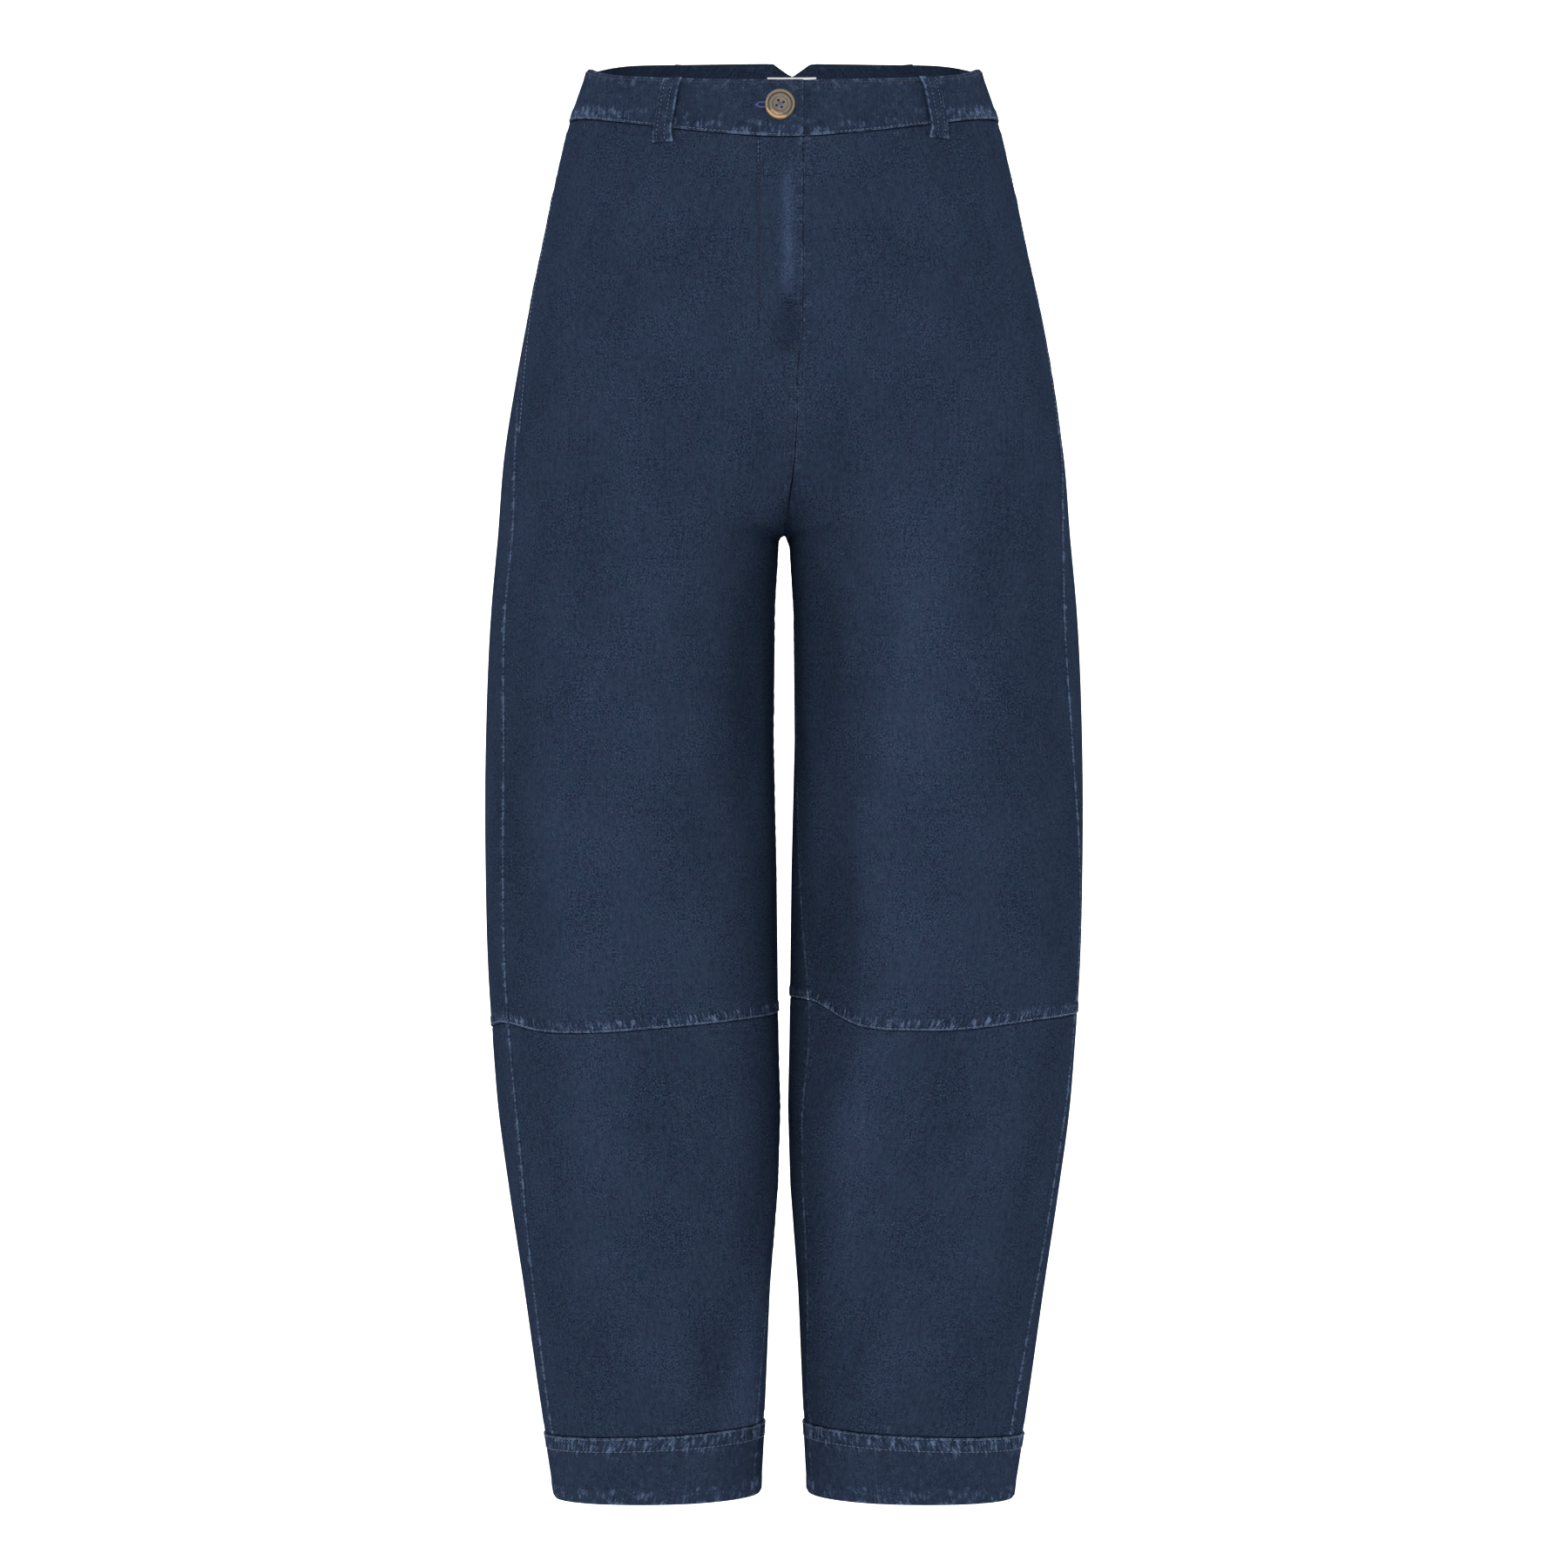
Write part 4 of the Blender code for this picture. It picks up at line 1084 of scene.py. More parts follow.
@dataclass(frozen=True)
class TapeFinish:
    """Plain woven tape, as on the blank label and the zip."""

    name: str
    colour: Triple
    rib: float = 0.0006

    def make(self) -> bpy.types.Material:
        """Makes the material.

        Returns:
            The material.
        """
        paint = Paint(self.name)
        place = paint.add("ShaderNodeTexCoord", {}, {}, "Object")
        parts = paint.add("ShaderNodeSeparateXYZ", {}, {0: place})
        up = Term(paint, parts.socket.node.outputs[2])
        ribs = ((parts + up * 0.3) * (2 * math.pi / self.rib)).sine() * 0.5 + 0.5
        dark = tuple(0.86 * part for part in self.colour)
        paint.set(base_color=paint.mix(ribs, dark, self.colour), roughness=0.75)
        paint.bump(ribs, 0.00008, 0.5)
        return paint.material


@dataclass(frozen=True)
class StageFinish:
    """The plain pale floor."""

    name: str = "pale_floor"
    colour: Triple = (0.88, 0.88, 0.88)

    def make(self) -> bpy.types.Material:
        """Makes the material.

        Returns:
            The material.
        """
        paint = Paint(self.name)
        paint.set(base_color=self.colour, roughness=0.9, specular_ior_level=0.1)
        return paint.material


@dataclass
class Finishes:
    """The materials that several pieces share."""

    denim: bpy.types.Material = field(default_factory=lambda: DenimFinish().make())
    band: bpy.types.Material = field(
        default_factory=lambda: DenimFinish("denim_band", patches=0.16, speckle=0.6).make()
    )
    thread: bpy.types.Material = field(default_factory=lambda: ThreadFinish().make())
    dark_thread: bpy.types.Material = field(
        default_factory=lambda: ThreadFinish("thread_dark", colour=(0.010, 0.014, 0.028)).make()
    )
    violet_thread: bpy.types.Material = field(
        default_factory=lambda: ThreadFinish("thread_violet", colour=(0.100, 0.110, 0.300)).make()
    )


# Cloth shells


class Relief(NamedTuple):
    """The cloth's fine form and looks.

    These are its height, how rubbed it is, its painted light above 0 and painted shade below 0, and how
    gathered:
    above 0 along level seams, and below 0 along upright ones.
    """

    out: Array | float
    wear: Array | float = 0.0
    fade: Array | float = 0.0
    gather: Array | float = 0.0

    def plus(self, other: "Relief") -> "Relief":
        """Both reliefs together."""
        return Relief(*(first + second for first, second in zip(self, other)))


@dataclass(frozen=True)
class SeamLook:
    """How the cloth lies along one edge of a piece.

    The turned-in layers lift a band beside the edge, the stitching gathers it, and high points are rubbed.
    A painted shadow darkens the edge itself, and painted shade the stitching grooves.
    """

    roll: float = 0.0007
    roll_width: float = 0.0012
    lift: float = 0.0004
    band: float = 0.0060
    pucker: float = 0.0003
    step: float = 0.0045
    slant: float = 0.15
    edge_wear: float = 0.5
    band_wear: float = 0.3
    edge_dark: float = 0.25
    gather: float = 0.0
    rows: tuple[float, ...] = ()
    seed: int = 1

    def relief(self, into: Array, along: Array) -> Relief:
        """The relief at distances into the piece and along the edge.

        Args:
            into: Distances into the piece.
            along: Lengths along the edge.

        Returns:
            The relief.
        """
        wave = Ripple(self.seed, 1.2, self.step).at(along + 0.2 + self.slant * into)
        slow = 0.5 + 0.5 * Ripple(self.seed + 50, 1.2, 0.030).at(along + 0.2)
        edge = 1 - ease(into / self.roll_width)
        on_band = ease((self.band + 0.0012 - into) / 0.0018)
        fading = ease(into / 0.0015) * ease((self.band * 1.7 - into) / (self.band * 0.9))
        out = self.lift * on_band - self.roll * edge + self.pucker * wave * (0.4 + 0.6 * slow) * fading
        # A painted shadow darkens the edge itself, where it rolls under or tucks beneath the piece beside it.
        fade = -self.edge_dark * bell(into / 0.0006)
        # Each stitch row sinks a groove, with painted shade in it.
        for row in self.rows:
            out = out - 0.00022 * bell((into - row) / 0.0006)
            fade = fade - 0.30 * bell((into - row) / 0.0006)
        line = bell((into - 0.0004) / 0.0005) * (0.65 + 0.35 * slow)
        ridges = np.clip(wave, 0, 1) * fading * (0.60 + 0.40 * slow)
        wear = self.edge_wear * line + self.band_wear * (ridges + 0.45 * on_band * (0.7 + 0.3 * slow))
        return Relief(out, wear, fade, self.gather * fading * (0.65 + 0.35 * slow))


def shell_object(
    name: str,
    outer: Array,
    inner: Array,
    cloth: Array,
    looks: Relief | None = None,
    skip: int = 1,
) -> Piece:
    """One closed thin shell: a fine outer grid and a coarser inner one, joined round their edges.

    Args:
        name: The piece's name.
        outer: Outer points, rows by columns.
        inner: Inner points of the same grid, of which every skip-th is used.
        cloth: Lengths across and up the cloth at each point.
        looks: How rubbed each outer point is, the light and shade painted on it, and how gathered it is.
        skip: How many outer cells one inner cell spans.

    Returns:
        The object, at the origin.
    """
    rows, columns = outer.shape[:2]
    kept_rows = sorted({*range(0, rows, skip), rows - 1})
    kept_columns = sorted({*range(0, columns, skip), columns - 1})
    coarse = inner[np.ix_(kept_rows, kept_columns)]
    points = np.concatenate([outer.reshape(-1, 3), coarse.reshape(-1, 3)])
    spots = np.concatenate([cloth.reshape(-1, 2), cloth[np.ix_(kept_rows, kept_columns)].reshape(-1, 2)])
    fine = np.arange(rows * columns).reshape(rows, columns)
    wide = np.arange(coarse[..., 0].size).reshape(coarse.shape[:2]) + rows * columns
    faces = [*grid_faces(fine), *grid_faces(wide[:, ::-1])]
    for line, plain, kept in (
        (fine[0], wide[0], kept_columns),
        (fine[:, -1], wide[:, -1], kept_rows),
        (fine[-1], wide[-1], kept_columns),
        (fine[:, 0], wide[:, 0], kept_rows),
    ):
        for k in range(len(kept) - 1):
            first, last = kept[k], kept[k + 1]
            faces.append([*line[first : last + 1].tolist(), int(plain[k + 1]), int(plain[k])])
    mesh = bpy.data.meshes.new(name)
    mesh.from_pydata(points.tolist(), [], faces)
    shape = bmesh.new()
    shape.from_mesh(mesh)
    bmesh.ops.recalc_face_normals(shape, faces=shape.faces)
    shape.to_mesh(mesh)
    shape.free()
    uv = mesh.uv_layers.new(name=CLOTH_MAP)
    corners = np.zeros(len(mesh.loops), dtype=np.int32)
    mesh.loops.foreach_get("vertex_index", corners)
    uv.uv.foreach_set("vector", (spots[corners] * MAP_SCALE).astype(np.float32).ravel())
    for attribute, values in zip((WEAR, PAINTED_LIGHT, GATHER), looks[1:]) if looks else ():
        spread = np.zeros(len(points), dtype=np.float32)
        spread[: rows * columns] = np.broadcast_to(values, (rows, columns)).reshape(-1)
        mesh.attributes.new(attribute, "FLOAT", "POINT").data.foreach_set("value", spread)
    mesh.shade_smooth()
    mesh.set_sharp_from_angle(angle=math.radians(60))
    piece = bpy.data.objects.new(name, mesh)
    bpy.context.collection.objects.link(piece)
    return piece


def grid_faces(numbers: Array) -> list[list[int]]:
    """The quads of a grid of vertex numbers.

    Args:
        numbers: Vertex numbers, rows by columns.

    Returns:
        The faces' vertex numbers.
    """
    a, b = numbers[:-1, :-1], numbers[:-1, 1:]
    c, d = numbers[1:, 1:], numbers[1:, :-1]
    return np.stack([a, b, c, d], axis=-1).reshape(-1, 4).tolist()


def edge_shares(width: Array, fine: float, reach: float, count: int, gap: float) -> Array:
    """Lengths of columns that are close beside both edges and even between them.

    Args:
        width: The whole widths, as a column.
        fine: The step beside the edges.
        reach: How far the close columns go.
        count: How many even steps lie between.
        gap: What is left free at both edges.

    Returns:
        Lengths from the first edge, a row for each width.
    """
    near = np.arange(0.0, reach, fine)
    middle = reach + (width - 2 * reach) * np.linspace(0, 1, count + 1)
    first = np.broadcast_to(near, (len(width), len(near)))
    lengths = np.concatenate([first, middle, width - first[:, ::-1]], axis=1)
    return np.clip(lengths, gap, width - gap)


def grid_object(
    name: str,
    chart: Chart,
    at: Array,
    z: Array,
    relief: Relief,
    wall: float,
    out: Array | float = 0.0,
    skip: int = 4,
) -> Piece:
    """A shell over a chart.

    Args:
        name: The piece's name.
        chart: The surface.
        at: Lengths across, rows by columns.
        z: Heights, rows by columns.
        relief: The fine relief and wear of the outer face.
        wall: The cloth's thickness.
        out: How far the whole piece stands out.
        skip: How many outer cells one inner cell spans.

    Returns:
        The object.
    """
    point, normal, _ = chart.place(at, z)
    outer = np.concatenate([point + normal * (out + relief.out)[..., None], z[..., None]], axis=-1)
    base = np.broadcast_to(out, z.shape)[..., None] - wall
    inner = np.concatenate([point + normal * base, z[..., None]], axis=-1)
    cloth = np.stack([at, z + 1.0], axis=-1)
    return shell_object(name, outer, inner, cloth, relief, skip)


def finish_piece(
    piece: Piece, material: bpy.types.Material, nodes: Sequence[str] = ()
) -> Piece:
    """Gives a piece its material, its body and the nodes that it stands for.

    Args:
        piece: The object.
        material: Its finish.
        nodes: The nodes that it replaces.

    Returns:
        The same object.
    """
    piece.data.materials.clear()
    piece.data.materials.append(material)
    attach(piece, BODY)
    if nodes:
        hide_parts(*nodes)
    log.info("%s: %d faces", piece.name, len(piece.data.polygons))
    return piece


# Stitching


@dataclass
class Stitcher:
    """Rows of short stitches that lie half sunk in the cloth."""

    length: float = 0.0024
    gap: float = 0.0008
    radius: float = 0.00024
    sides: int = 6
    points: list[Array] = field(default_factory=list)
    faces: list[list[int]] = field(default_factory=list)

    def row(self, line: Array, normals: Array, scale: float = 1.0, seed: int = 1) -> None:
        """Sews one row.

        Args:
            line: Points of the row in order.
            normals: The cloth's outward directions there.
            scale: How large the stitches are.
            seed: A number for the row's small unevenness.
        """
        made = np.random.default_rng(seed)
        run = np.concatenate([[0.0], np.cumsum(np.linalg.norm(np.diff(line, axis=0), axis=1))])
        pitch = (self.length + self.gap) * scale
        count = int((run[-1] - self.gap) / pitch)
        if count < 1:
            return
        starts = (np.arange(count) + 0.5) * run[-1] / count
        for middle in starts:
            half = self.length * scale / 2 * made.uniform(0.88, 1.05)
            ends = middle + np.array([-half, -half * 0.55, 0.0, half * 0.55, half])
            spots = np.stack([np.interp(ends, run, line[:, k]) for k in range(3)], axis=1)
            up = np.array([np.interp(middle, run, normals[:, k]) for k in range(3)])
            self._stitch(spots, up / np.linalg.norm(up), scale)

    def _stitch(self, spots: Array, up: Array, scale: float) -> None:
        """Adds one stitch along five spots.

        Args:
            spots: Points along the stitch.
            up: The cloth's outward direction.
            scale: How large the stitch is.
        """
        along = spots[-1] - spots[0]
        along /= np.linalg.norm(along)
        across = np.cross(up, along)
        turns = 2 * math.pi * np.arange(self.sides) / self.sides
        thick = self.radius * scale * np.array([0.35, 0.9, 1.0, 0.9, 0.35])
        lifted = self.radius * scale * np.array([-0.9, 0.35, 0.55, 0.35, -0.9])
        first = sum(len(block) for block in self.points)
        rings = [
            spot + up * lift + size * (np.cos(turns)[:, None] * across + np.sin(turns)[:, None] * up)
            for spot, size, lift in zip(spots, thick, lifted)
        ]
        self.points.append(np.concatenate(rings))
        n = self.sides
        for ring in range(len(rings) - 1):
            for k in range(n):
                a, b = first + ring * n + k, first + ring * n + (k + 1) % n
                self.faces.append([a, b, b + n, a + n])
        self.faces.append([first + k for k in range(n)][::-1])
        self.faces.append([first + (len(rings) - 1) * n + k for k in range(n)])

    def single(self, ends: Array, up: Array, scale: float = 1.0) -> None:
        """Sews one straight stitch between two ends."""
        shares = np.array([0.0, 0.22, 0.5, 0.78, 1.0])[:, None]
        self._stitch(ends[0] + shares * (ends[1] - ends[0]), up, scale)

    def on_chart(
        self,
        chart: Chart,
        at: Array,
        z: Array,
        out: float | Array,
        scale: float = 1.0,
        seed: int = 1,
    ) -> None:
        """Sews one row over a chart, at lengths across and heights.

        Args:
            chart: The surface.
            at: Lengths from the first edge.
            z: Heights.
            out: How far out the row lies.
            scale: How large the stitches are.
            seed: A number for the row's small unevenness.
        """
        point, normal, _ = chart.place(at, z)
        line = np.concatenate([point + normal * np.broadcast_to(out, z.shape)[:, None], z[:, None]], axis=1)
        self.row(line, np.concatenate([normal, np.zeros((len(z), 1))], axis=1), scale, seed)

    def finish(self, name: str, material: bpy.types.Material, slot: str) -> Piece:
        """Makes one piece of all the rows sewn so far, and starts afresh.

        Args:
            name: The piece's name.
            material: Its finish.
            slot: Not used.

        Returns:
            The object.
        """
        mesh = bpy.data.meshes.new(name)
        mesh.from_pydata(np.concatenate(self.points).tolist(), [], self.faces)
        mesh.shade_smooth()
        piece = bpy.data.objects.new(name, mesh)
        bpy.context.collection.objects.link(piece)
        self.points, self.faces = [], []
        return finish_piece(piece, material)


# Panels


@dataclass
class LegPanels:
    """The fronts and backs of both legs, cut in two at the knee."""

    form: GarmentForm
    finishes: Finishes
    stitcher: Stitcher
    wall: float = 0.0014
    gap: float = 0.00015
    fine_step: float = 0.0006
    fine_reach: float = 0.0084
    column_step: float = 0.0016
    row_step: float = 0.0030
    pocket_top: float = -0.057
    pocket_low: float = -0.233
    pocket_lip: float = 0.0011
    pocket_row: float = 0.0065
    fly_low: float = -0.182
    fly_width: float = 0.030
    fly_row_top: float = -0.0425
    fly_row_dark: float = -0.060
    fly_row_turn: float = -0.150
    fly_row_drop: float = 0.0345
    middle_rows: tuple[float, float] = (0.0012, 0.0070)
    knee_z: float = -0.635
    knee_row: float = 0.0013
    row_pitch: float = 0.002

    def build(self) -> list[Piece]:
        """Makes the eight panels."""
        return [self.panel(side, face, upper) for side in Side for face in Face for upper in (True, False)]

    def knee(self, side: Side) -> Callable:
        """The knee seam's height from points, angles and heights."""
        return lambda point, degrees, z: self.form.knees[side].at(degrees)

    def columns(self, chart: Chart, z: float) -> Callable[[Array], Array]:
        """The lengths of a panel's columns, for widths given as a column."""
        count = round((float(chart.width(np.array(z))) - 2 * self.fine_reach) / self.column_step)
        return lambda width: edge_shares(width, self.fine_step, self.fine_reach, count, self.gap)

    def heights(self, lows: Array, tops: Array, knots: Sequence[float]) -> Array:
        """The heights of a panel's rows, close beside its upper and lower edge.

        Args:
            lows: The lower edge's height at each column.
            tops: The upper edge's height at each column.
            knots: Heights that a row must keep to, rising.

        Returns:
            Heights, rows by columns.
        """
        near = np.arange(0.0, self.fine_reach, self.fine_step)[:, None]
        low, top = lows + self.gap, tops - self.gap
        marks = [low + self.fine_reach, *(np.full_like(low, knot) for knot in knots), top - self.fine_reach]
        blocks = [low + near]
        for first, last in zip(marks, marks[1:]):
            steps = max(1, round(float(np.mean(last - first)) / self.row_step))
            blocks.append(first + (last - first) * (np.arange(steps) / steps)[:, None])
        blocks.append((top - self.fine_reach)[None, :])
        blocks.append(top - near[::-1])
        return np.concatenate(blocks)

    def pocket_relief(self, at: Array, z: Array) -> Relief:
        """The lip of a side pocket's mouth.

        Args:
            at: Lengths from the first edge.
            z: Heights.

        Returns:
            The relief.
        """
        along = ease((self.pocket_top - z) / 0.014) * ease((z - self.pocket_low) / 0.014)
        out = self.pocket_lip * along * ease(1 - (at - 0.002) / 0.012)
        ends = bell((z - self.pocket_low) / 0.003) + bell((z - self.pocket_top) / 0.003)
        wear = 0.55 * along * bell(at / 0.0016) + 0.5 * ends * bell(at / 0.005)
        return Relief(out - 0.0002 * along * bell((at - self.pocket_row) / 0.0006), wear)

    def fly_relief(self, to_edge: Array, z: Array) -> Relief:
        """The fly's extra layers, its pressed edge, and the zip that shows through as a ridge, with a painted
        highlight on the ridge and painted shade in the hollow below it, along the fly's edge and in its
        stitching groove.

        Args:
            to_edge: Distances from the fly's edge.
            z: Heights.

        Returns:
            The relief.
        """
        along = ease((z - self.fly_low) / 0.014)
        layer = 0.0006 * ease((self.fly_width + 0.001 - to_edge) / 0.004)
        edge = 0.0005 * ease((0.010 - to_edge) / 0.004)
        over_zip = bell((to_edge - 0.0102) / 0.0042) * ease((-0.052 - z) / 0.03) * ease((z + 0.152) / 0.018)
        hollow = bell((to_edge - 0.010) / 0.010) * ease((-0.144 - z) / 0.010) * ease((z + 0.190) / 0.012)
        seams = 0.00025 * bell((to_edge - self.fly_width) / 0.0008)
        wave = Ripple(77, 0.5, 0.008).at(-z)
        out = along * (layer + edge - seams) + 0.0012 * over_zip * (1 + 0.15 * wave) - 0.0007 * hollow
        # Over the zip's ridge the cloth is a little rubbed and carries a painted highlight; painted shade
        # lies in the hollow below it, along the fly's edge and in its stitching groove.
        wear = 0.12 * over_zip + 0.10 * along * bell((to_edge - 0.0012) / 0.0010)
        fade = 1.1 * over_zip * (1 + 0.12 * wave) - 0.35 * hollow
        fade -= along * (0.6 * bell(to_edge / 0.0008) + 0.3 * bell((to_edge - self.fly_width) / 0.0009))
        return Relief(out, wear, fade)

    def panel(self, side: Side, face: Face, upper: bool) -> Piece:
        """A front or back panel, from the waist seam to the knee seam or from there to the cuff.

        Args:
            side: The leg.
            face: The front or the back.
            upper: Whether the panel is above the knee.

        Returns:
            The panel.
        """
        form = self.form
        if upper:
            chart = panel_chart(form, side, face, -0.70, 0.03)
            columns = self.columns(chart, -0.30)
            lows = chart.edge_heights(columns, self.knee(side), self.knee_z)
            tops = chart.edge_heights(
                columns, lambda point, degrees, z: form.waist_seam_z(point, z), form.waist_z
            )
            knots = (form.fork_z - form.fork_flat, form.fork_z, form.fork_z + 0.012, form.fork_z + 0.045)
        else:
            chart = panel_chart(form, side, face, -0.93, -0.58)
            columns = self.columns(chart, -0.72)
            lows = chart.edge_heights(
                columns, lambda point, degrees, z: form.cuff_top_z(degrees), form.cuff_top
            )
            tops = chart.edge_heights(columns, self.knee(side), self.knee_z)
            knots = ()
        z = self.heights(lows, tops, knots)
        at = chart.lengths(columns, z)
        from_inner = chart.width(z) - at
        relief = self.edge_relief(side, face, upper, at, from_inner, z - lows, tops - z, z)
        # Painted light and shade over the panel.
        relief = relief.plus(self.wash(side, chart.place(at, z)[2], z, at, from_inner))
        if upper and face is Face.FRONT:
            relief = relief.plus(self.pocket_relief(at, z))
            if side is Side.RIGHT:
                relief = relief.plus(self.fly_relief(from_inner, z))
        name = f"{face.value}_{side.name.lower()}_{'upper' if upper else 'lower'}"
        piece = grid_object(f"cloth_{name}", chart, at, z, relief, self.wall)
        finish_piece(piece, self.finishes.denim, [name])
        self.declare(chart, lows, tops)
        if upper:
            self.sew(name, chart, side, face, columns, lows)
        return piece

    def edge_relief(
        self,
        side: Side,
        face: Face,
        upper: bool,
        from_outseam: Array,
        from_inner: Array,
        from_low: Array,
        from_top: Array,
        z: Array,
    ) -> Relief:
        """The relief along a panel's four edges.

        Args:
            side: The leg.
            face: The front or the back.
            upper: Whether the panel is above the knee.
            from_outseam: Distances from the outseam.
            from_inner: Distances from the inseam and the middle seam.
            from_low: Distances from the lower edge.
            from_top: Distances from the upper edge.
            z: Heights.

        Returns:
            The summed relief.
        """
        seed = 10 * (side.value + 2) + (3 if face is Face.FRONT else 5) + (0 if upper else 100)
        back = face is Face.BACK
        outseam = SeamLook(
            lift=0.0007 if back else 0.0001,
            roll=0.0006 if back else 0.0007,
            band=0.0040,
            pucker=0.00022,
            step=0.006,
            edge_wear=0.75 if back else 0.05,
            band_wear=0.30 if back else 0.10,
            edge_dark=0.1 if back else 1.0,
            gather=-0.5 if back else -0.25,
            seed=seed,
        )
        inner = SeamLook(
            lift=0.0003, band=0.005, pucker=0.0003,
            edge_wear=0.45, band_wear=0.20, gather=-0.35, seed=seed + 1,
        )
        if upper:
            low = SeamLook(
                lift=0.0004, roll=0.0003, band=0.0068, pucker=0.00040, step=0.0030,
                edge_wear=0.80, band_wear=0.42, edge_dark=0.1, gather=1.0,
                rows=(self.knee_row,), seed=seed + 2,
            )
            top = SeamLook(
                lift=-0.0003, pucker=0.0002, edge_wear=0.0, band_wear=0.16,
                edge_dark=1.0, gather=0.3, seed=seed + 3,
            )
        else:
            low = SeamLook(
                lift=-0.0003, pucker=0.0003, edge_wear=0.0, band_wear=0.10,
                edge_dark=1.0, gather=0.5, seed=seed + 2,
            )
            top = SeamLook(
                lift=-0.0002, roll=0.0008, pucker=0.0002, edge_wear=0.0, band_wear=0.08, edge_dark=1.1,
                gather=0.2, seed=seed + 3,
            )
        total = outseam.relief(from_outseam, -z)
        total = total.plus(inner.relief(from_inner, -z))
        total = total.plus(low.relief(from_low, from_outseam))
        return total.plus(top.relief(from_top, from_outseam))

    def wash(
        self, side: Side, degrees: Array, z: Array, from_outseam: Array, from_inner: Array
    ) -> Relief:
        """Painted light and shade: darker along the sides and at the fork, the folds lighter on their crests
        and darker in their troughs, and the right leg's inner side lighter and the left's darker.

        Args:
            side: The wearer's side.
            degrees: Angles about the leg.
            z: Heights.
            from_outseam: Distances from the outseam.
            from_inner: Distances from the inseam and the middle seam.

        Returns:
            The relief.
        """
        folds = self.form.crease_height(FOLDS + CREASES, side, degrees, z)
        on_leg = ease((self.form.fork_z + 0.05 - z) / 0.08)
        # Painted shade near the outseam, painted light on fold crests and painted shade in troughs; then
        # painted light on the right leg's inner side and painted shade on the left's, and painted shade at
        # the fork.
        fade = 70 * folds - 0.10 * ease((0.060 - from_outseam) / 0.034)
        inner = 0.15 if side is Side.LEFT else -0.90
        fade -= inner * on_leg * ease((0.045 - from_inner) / 0.035)
        fade -= 0.30 * bell((z - self.form.fork_z + 0.01) / 0.04) * ease((0.045 - from_inner) / 0.045)
        return Relief(0.0, 0.0, fade)

    def declare(self, chart: Chart, lows: Array, tops: Array) -> None:
        """Measures the panel's area and flat size on the smooth form, and keeps nothing of them.

        Args:
            chart: The surface.
            lows: The lower edge's height at each column.
            tops: The upper edge's height at each column.
        """
        levels = np.linspace(float(lows.mean()), float(tops.mean()), 60)
        width = chart.width(levels)
        area = float(np.mean(width) * (levels[-1] - levels[0])) * 1.01
        flat = (float(width.max()) * 1.02, float(tops.max() - lows.min()) * 1.02)
        area = min(area, flat[0] * flat[1])

    def sew(
        self, name: str, chart: Chart, side: Side, face: Face, columns: Callable, lows: Array
    ) -> None:
        """Sews the rows that show on a panel above the knee.

        Args:
            name: The panel's name.
            chart: Its surface.
            side: The leg.
            face: The front or the back.
            columns: Its columns' lengths.
            lows: The knee seam's height at each column.
        """
        at_low = chart.lengths(columns, lows)
        height = lows[2:-2] + self.knee_row
        self.stitcher.on_chart(chart, at_low[2:-2], height, 0.0006, 0.9, seed=len(name))
        if face is Face.FRONT:
            z = np.arange(self.pocket_top + 0.004, self.pocket_low - 0.004, -0.003)
            self.stitcher.on_chart(chart, np.full_like(z, self.pocket_row), z, 0.0006, seed=3)
            bar = np.linspace(0.0006, 0.0075, 8)
            for height in (self.pocket_top, self.pocket_low):
                for step in (-0.0006, 0.0, 0.0006):
                    z = np.full_like(bar, height + step)
                    self.stitcher.on_chart(chart, bar, z, 0.0008, 0.9, seed=5)
        if face is Face.FRONT and side is Side.RIGHT:
            z = np.arange(self.fly_row_top, self.fly_row_dark, -self.row_pitch)
            self.stitcher.on_chart(chart, chart.width(z) - self.fly_width, z, 0.0007, 0.95, seed=7)
        self.stitcher.finish(f"stitches_{name}", self.finishes.thread, "denim")
        if face is Face.FRONT and side is Side.RIGHT:
            self.sew_fly(chart)
            self.sew_middle(chart)
            self.stitcher.finish("stitches_fly", self.finishes.dark_thread, "denim")

    def sew_fly(self, chart: Chart) -> None:
        """The curved row that holds the fly, ending at the middle seam.

        Args:
            chart: The surface.
        """
        straight = np.arange(self.fly_row_dark, self.fly_row_turn, -self.row_pitch)
        curve = np.linspace(0.0, 1.0, 24)
        z = np.concatenate([straight, self.fly_row_turn - self.fly_row_drop * np.sin(curve * math.pi / 2)])
        end = self.middle_rows[0]
        reach = np.concatenate([
            np.full(len(straight), self.fly_width),
            end + (self.fly_width - end) * np.cos(curve * math.pi / 2),
        ])
        self.stitcher.on_chart(chart, chart.width(z) - reach, z, 0.0007, 0.95, seed=8)

    def sew_middle(self, chart: Chart) -> None:
        """The two rows beside the middle seam, under the fly.

        Args:
            chart: The surface.
        """
        z = np.arange(self.fly_low - 0.005, self.form.fork_z + 0.006, -self.row_pitch)
        for reach, seed in zip(self.middle_rows, (11, 12)):
            self.stitcher.on_chart(chart, chart.width(z) - reach, z, 0.0005, 0.95, seed=seed)


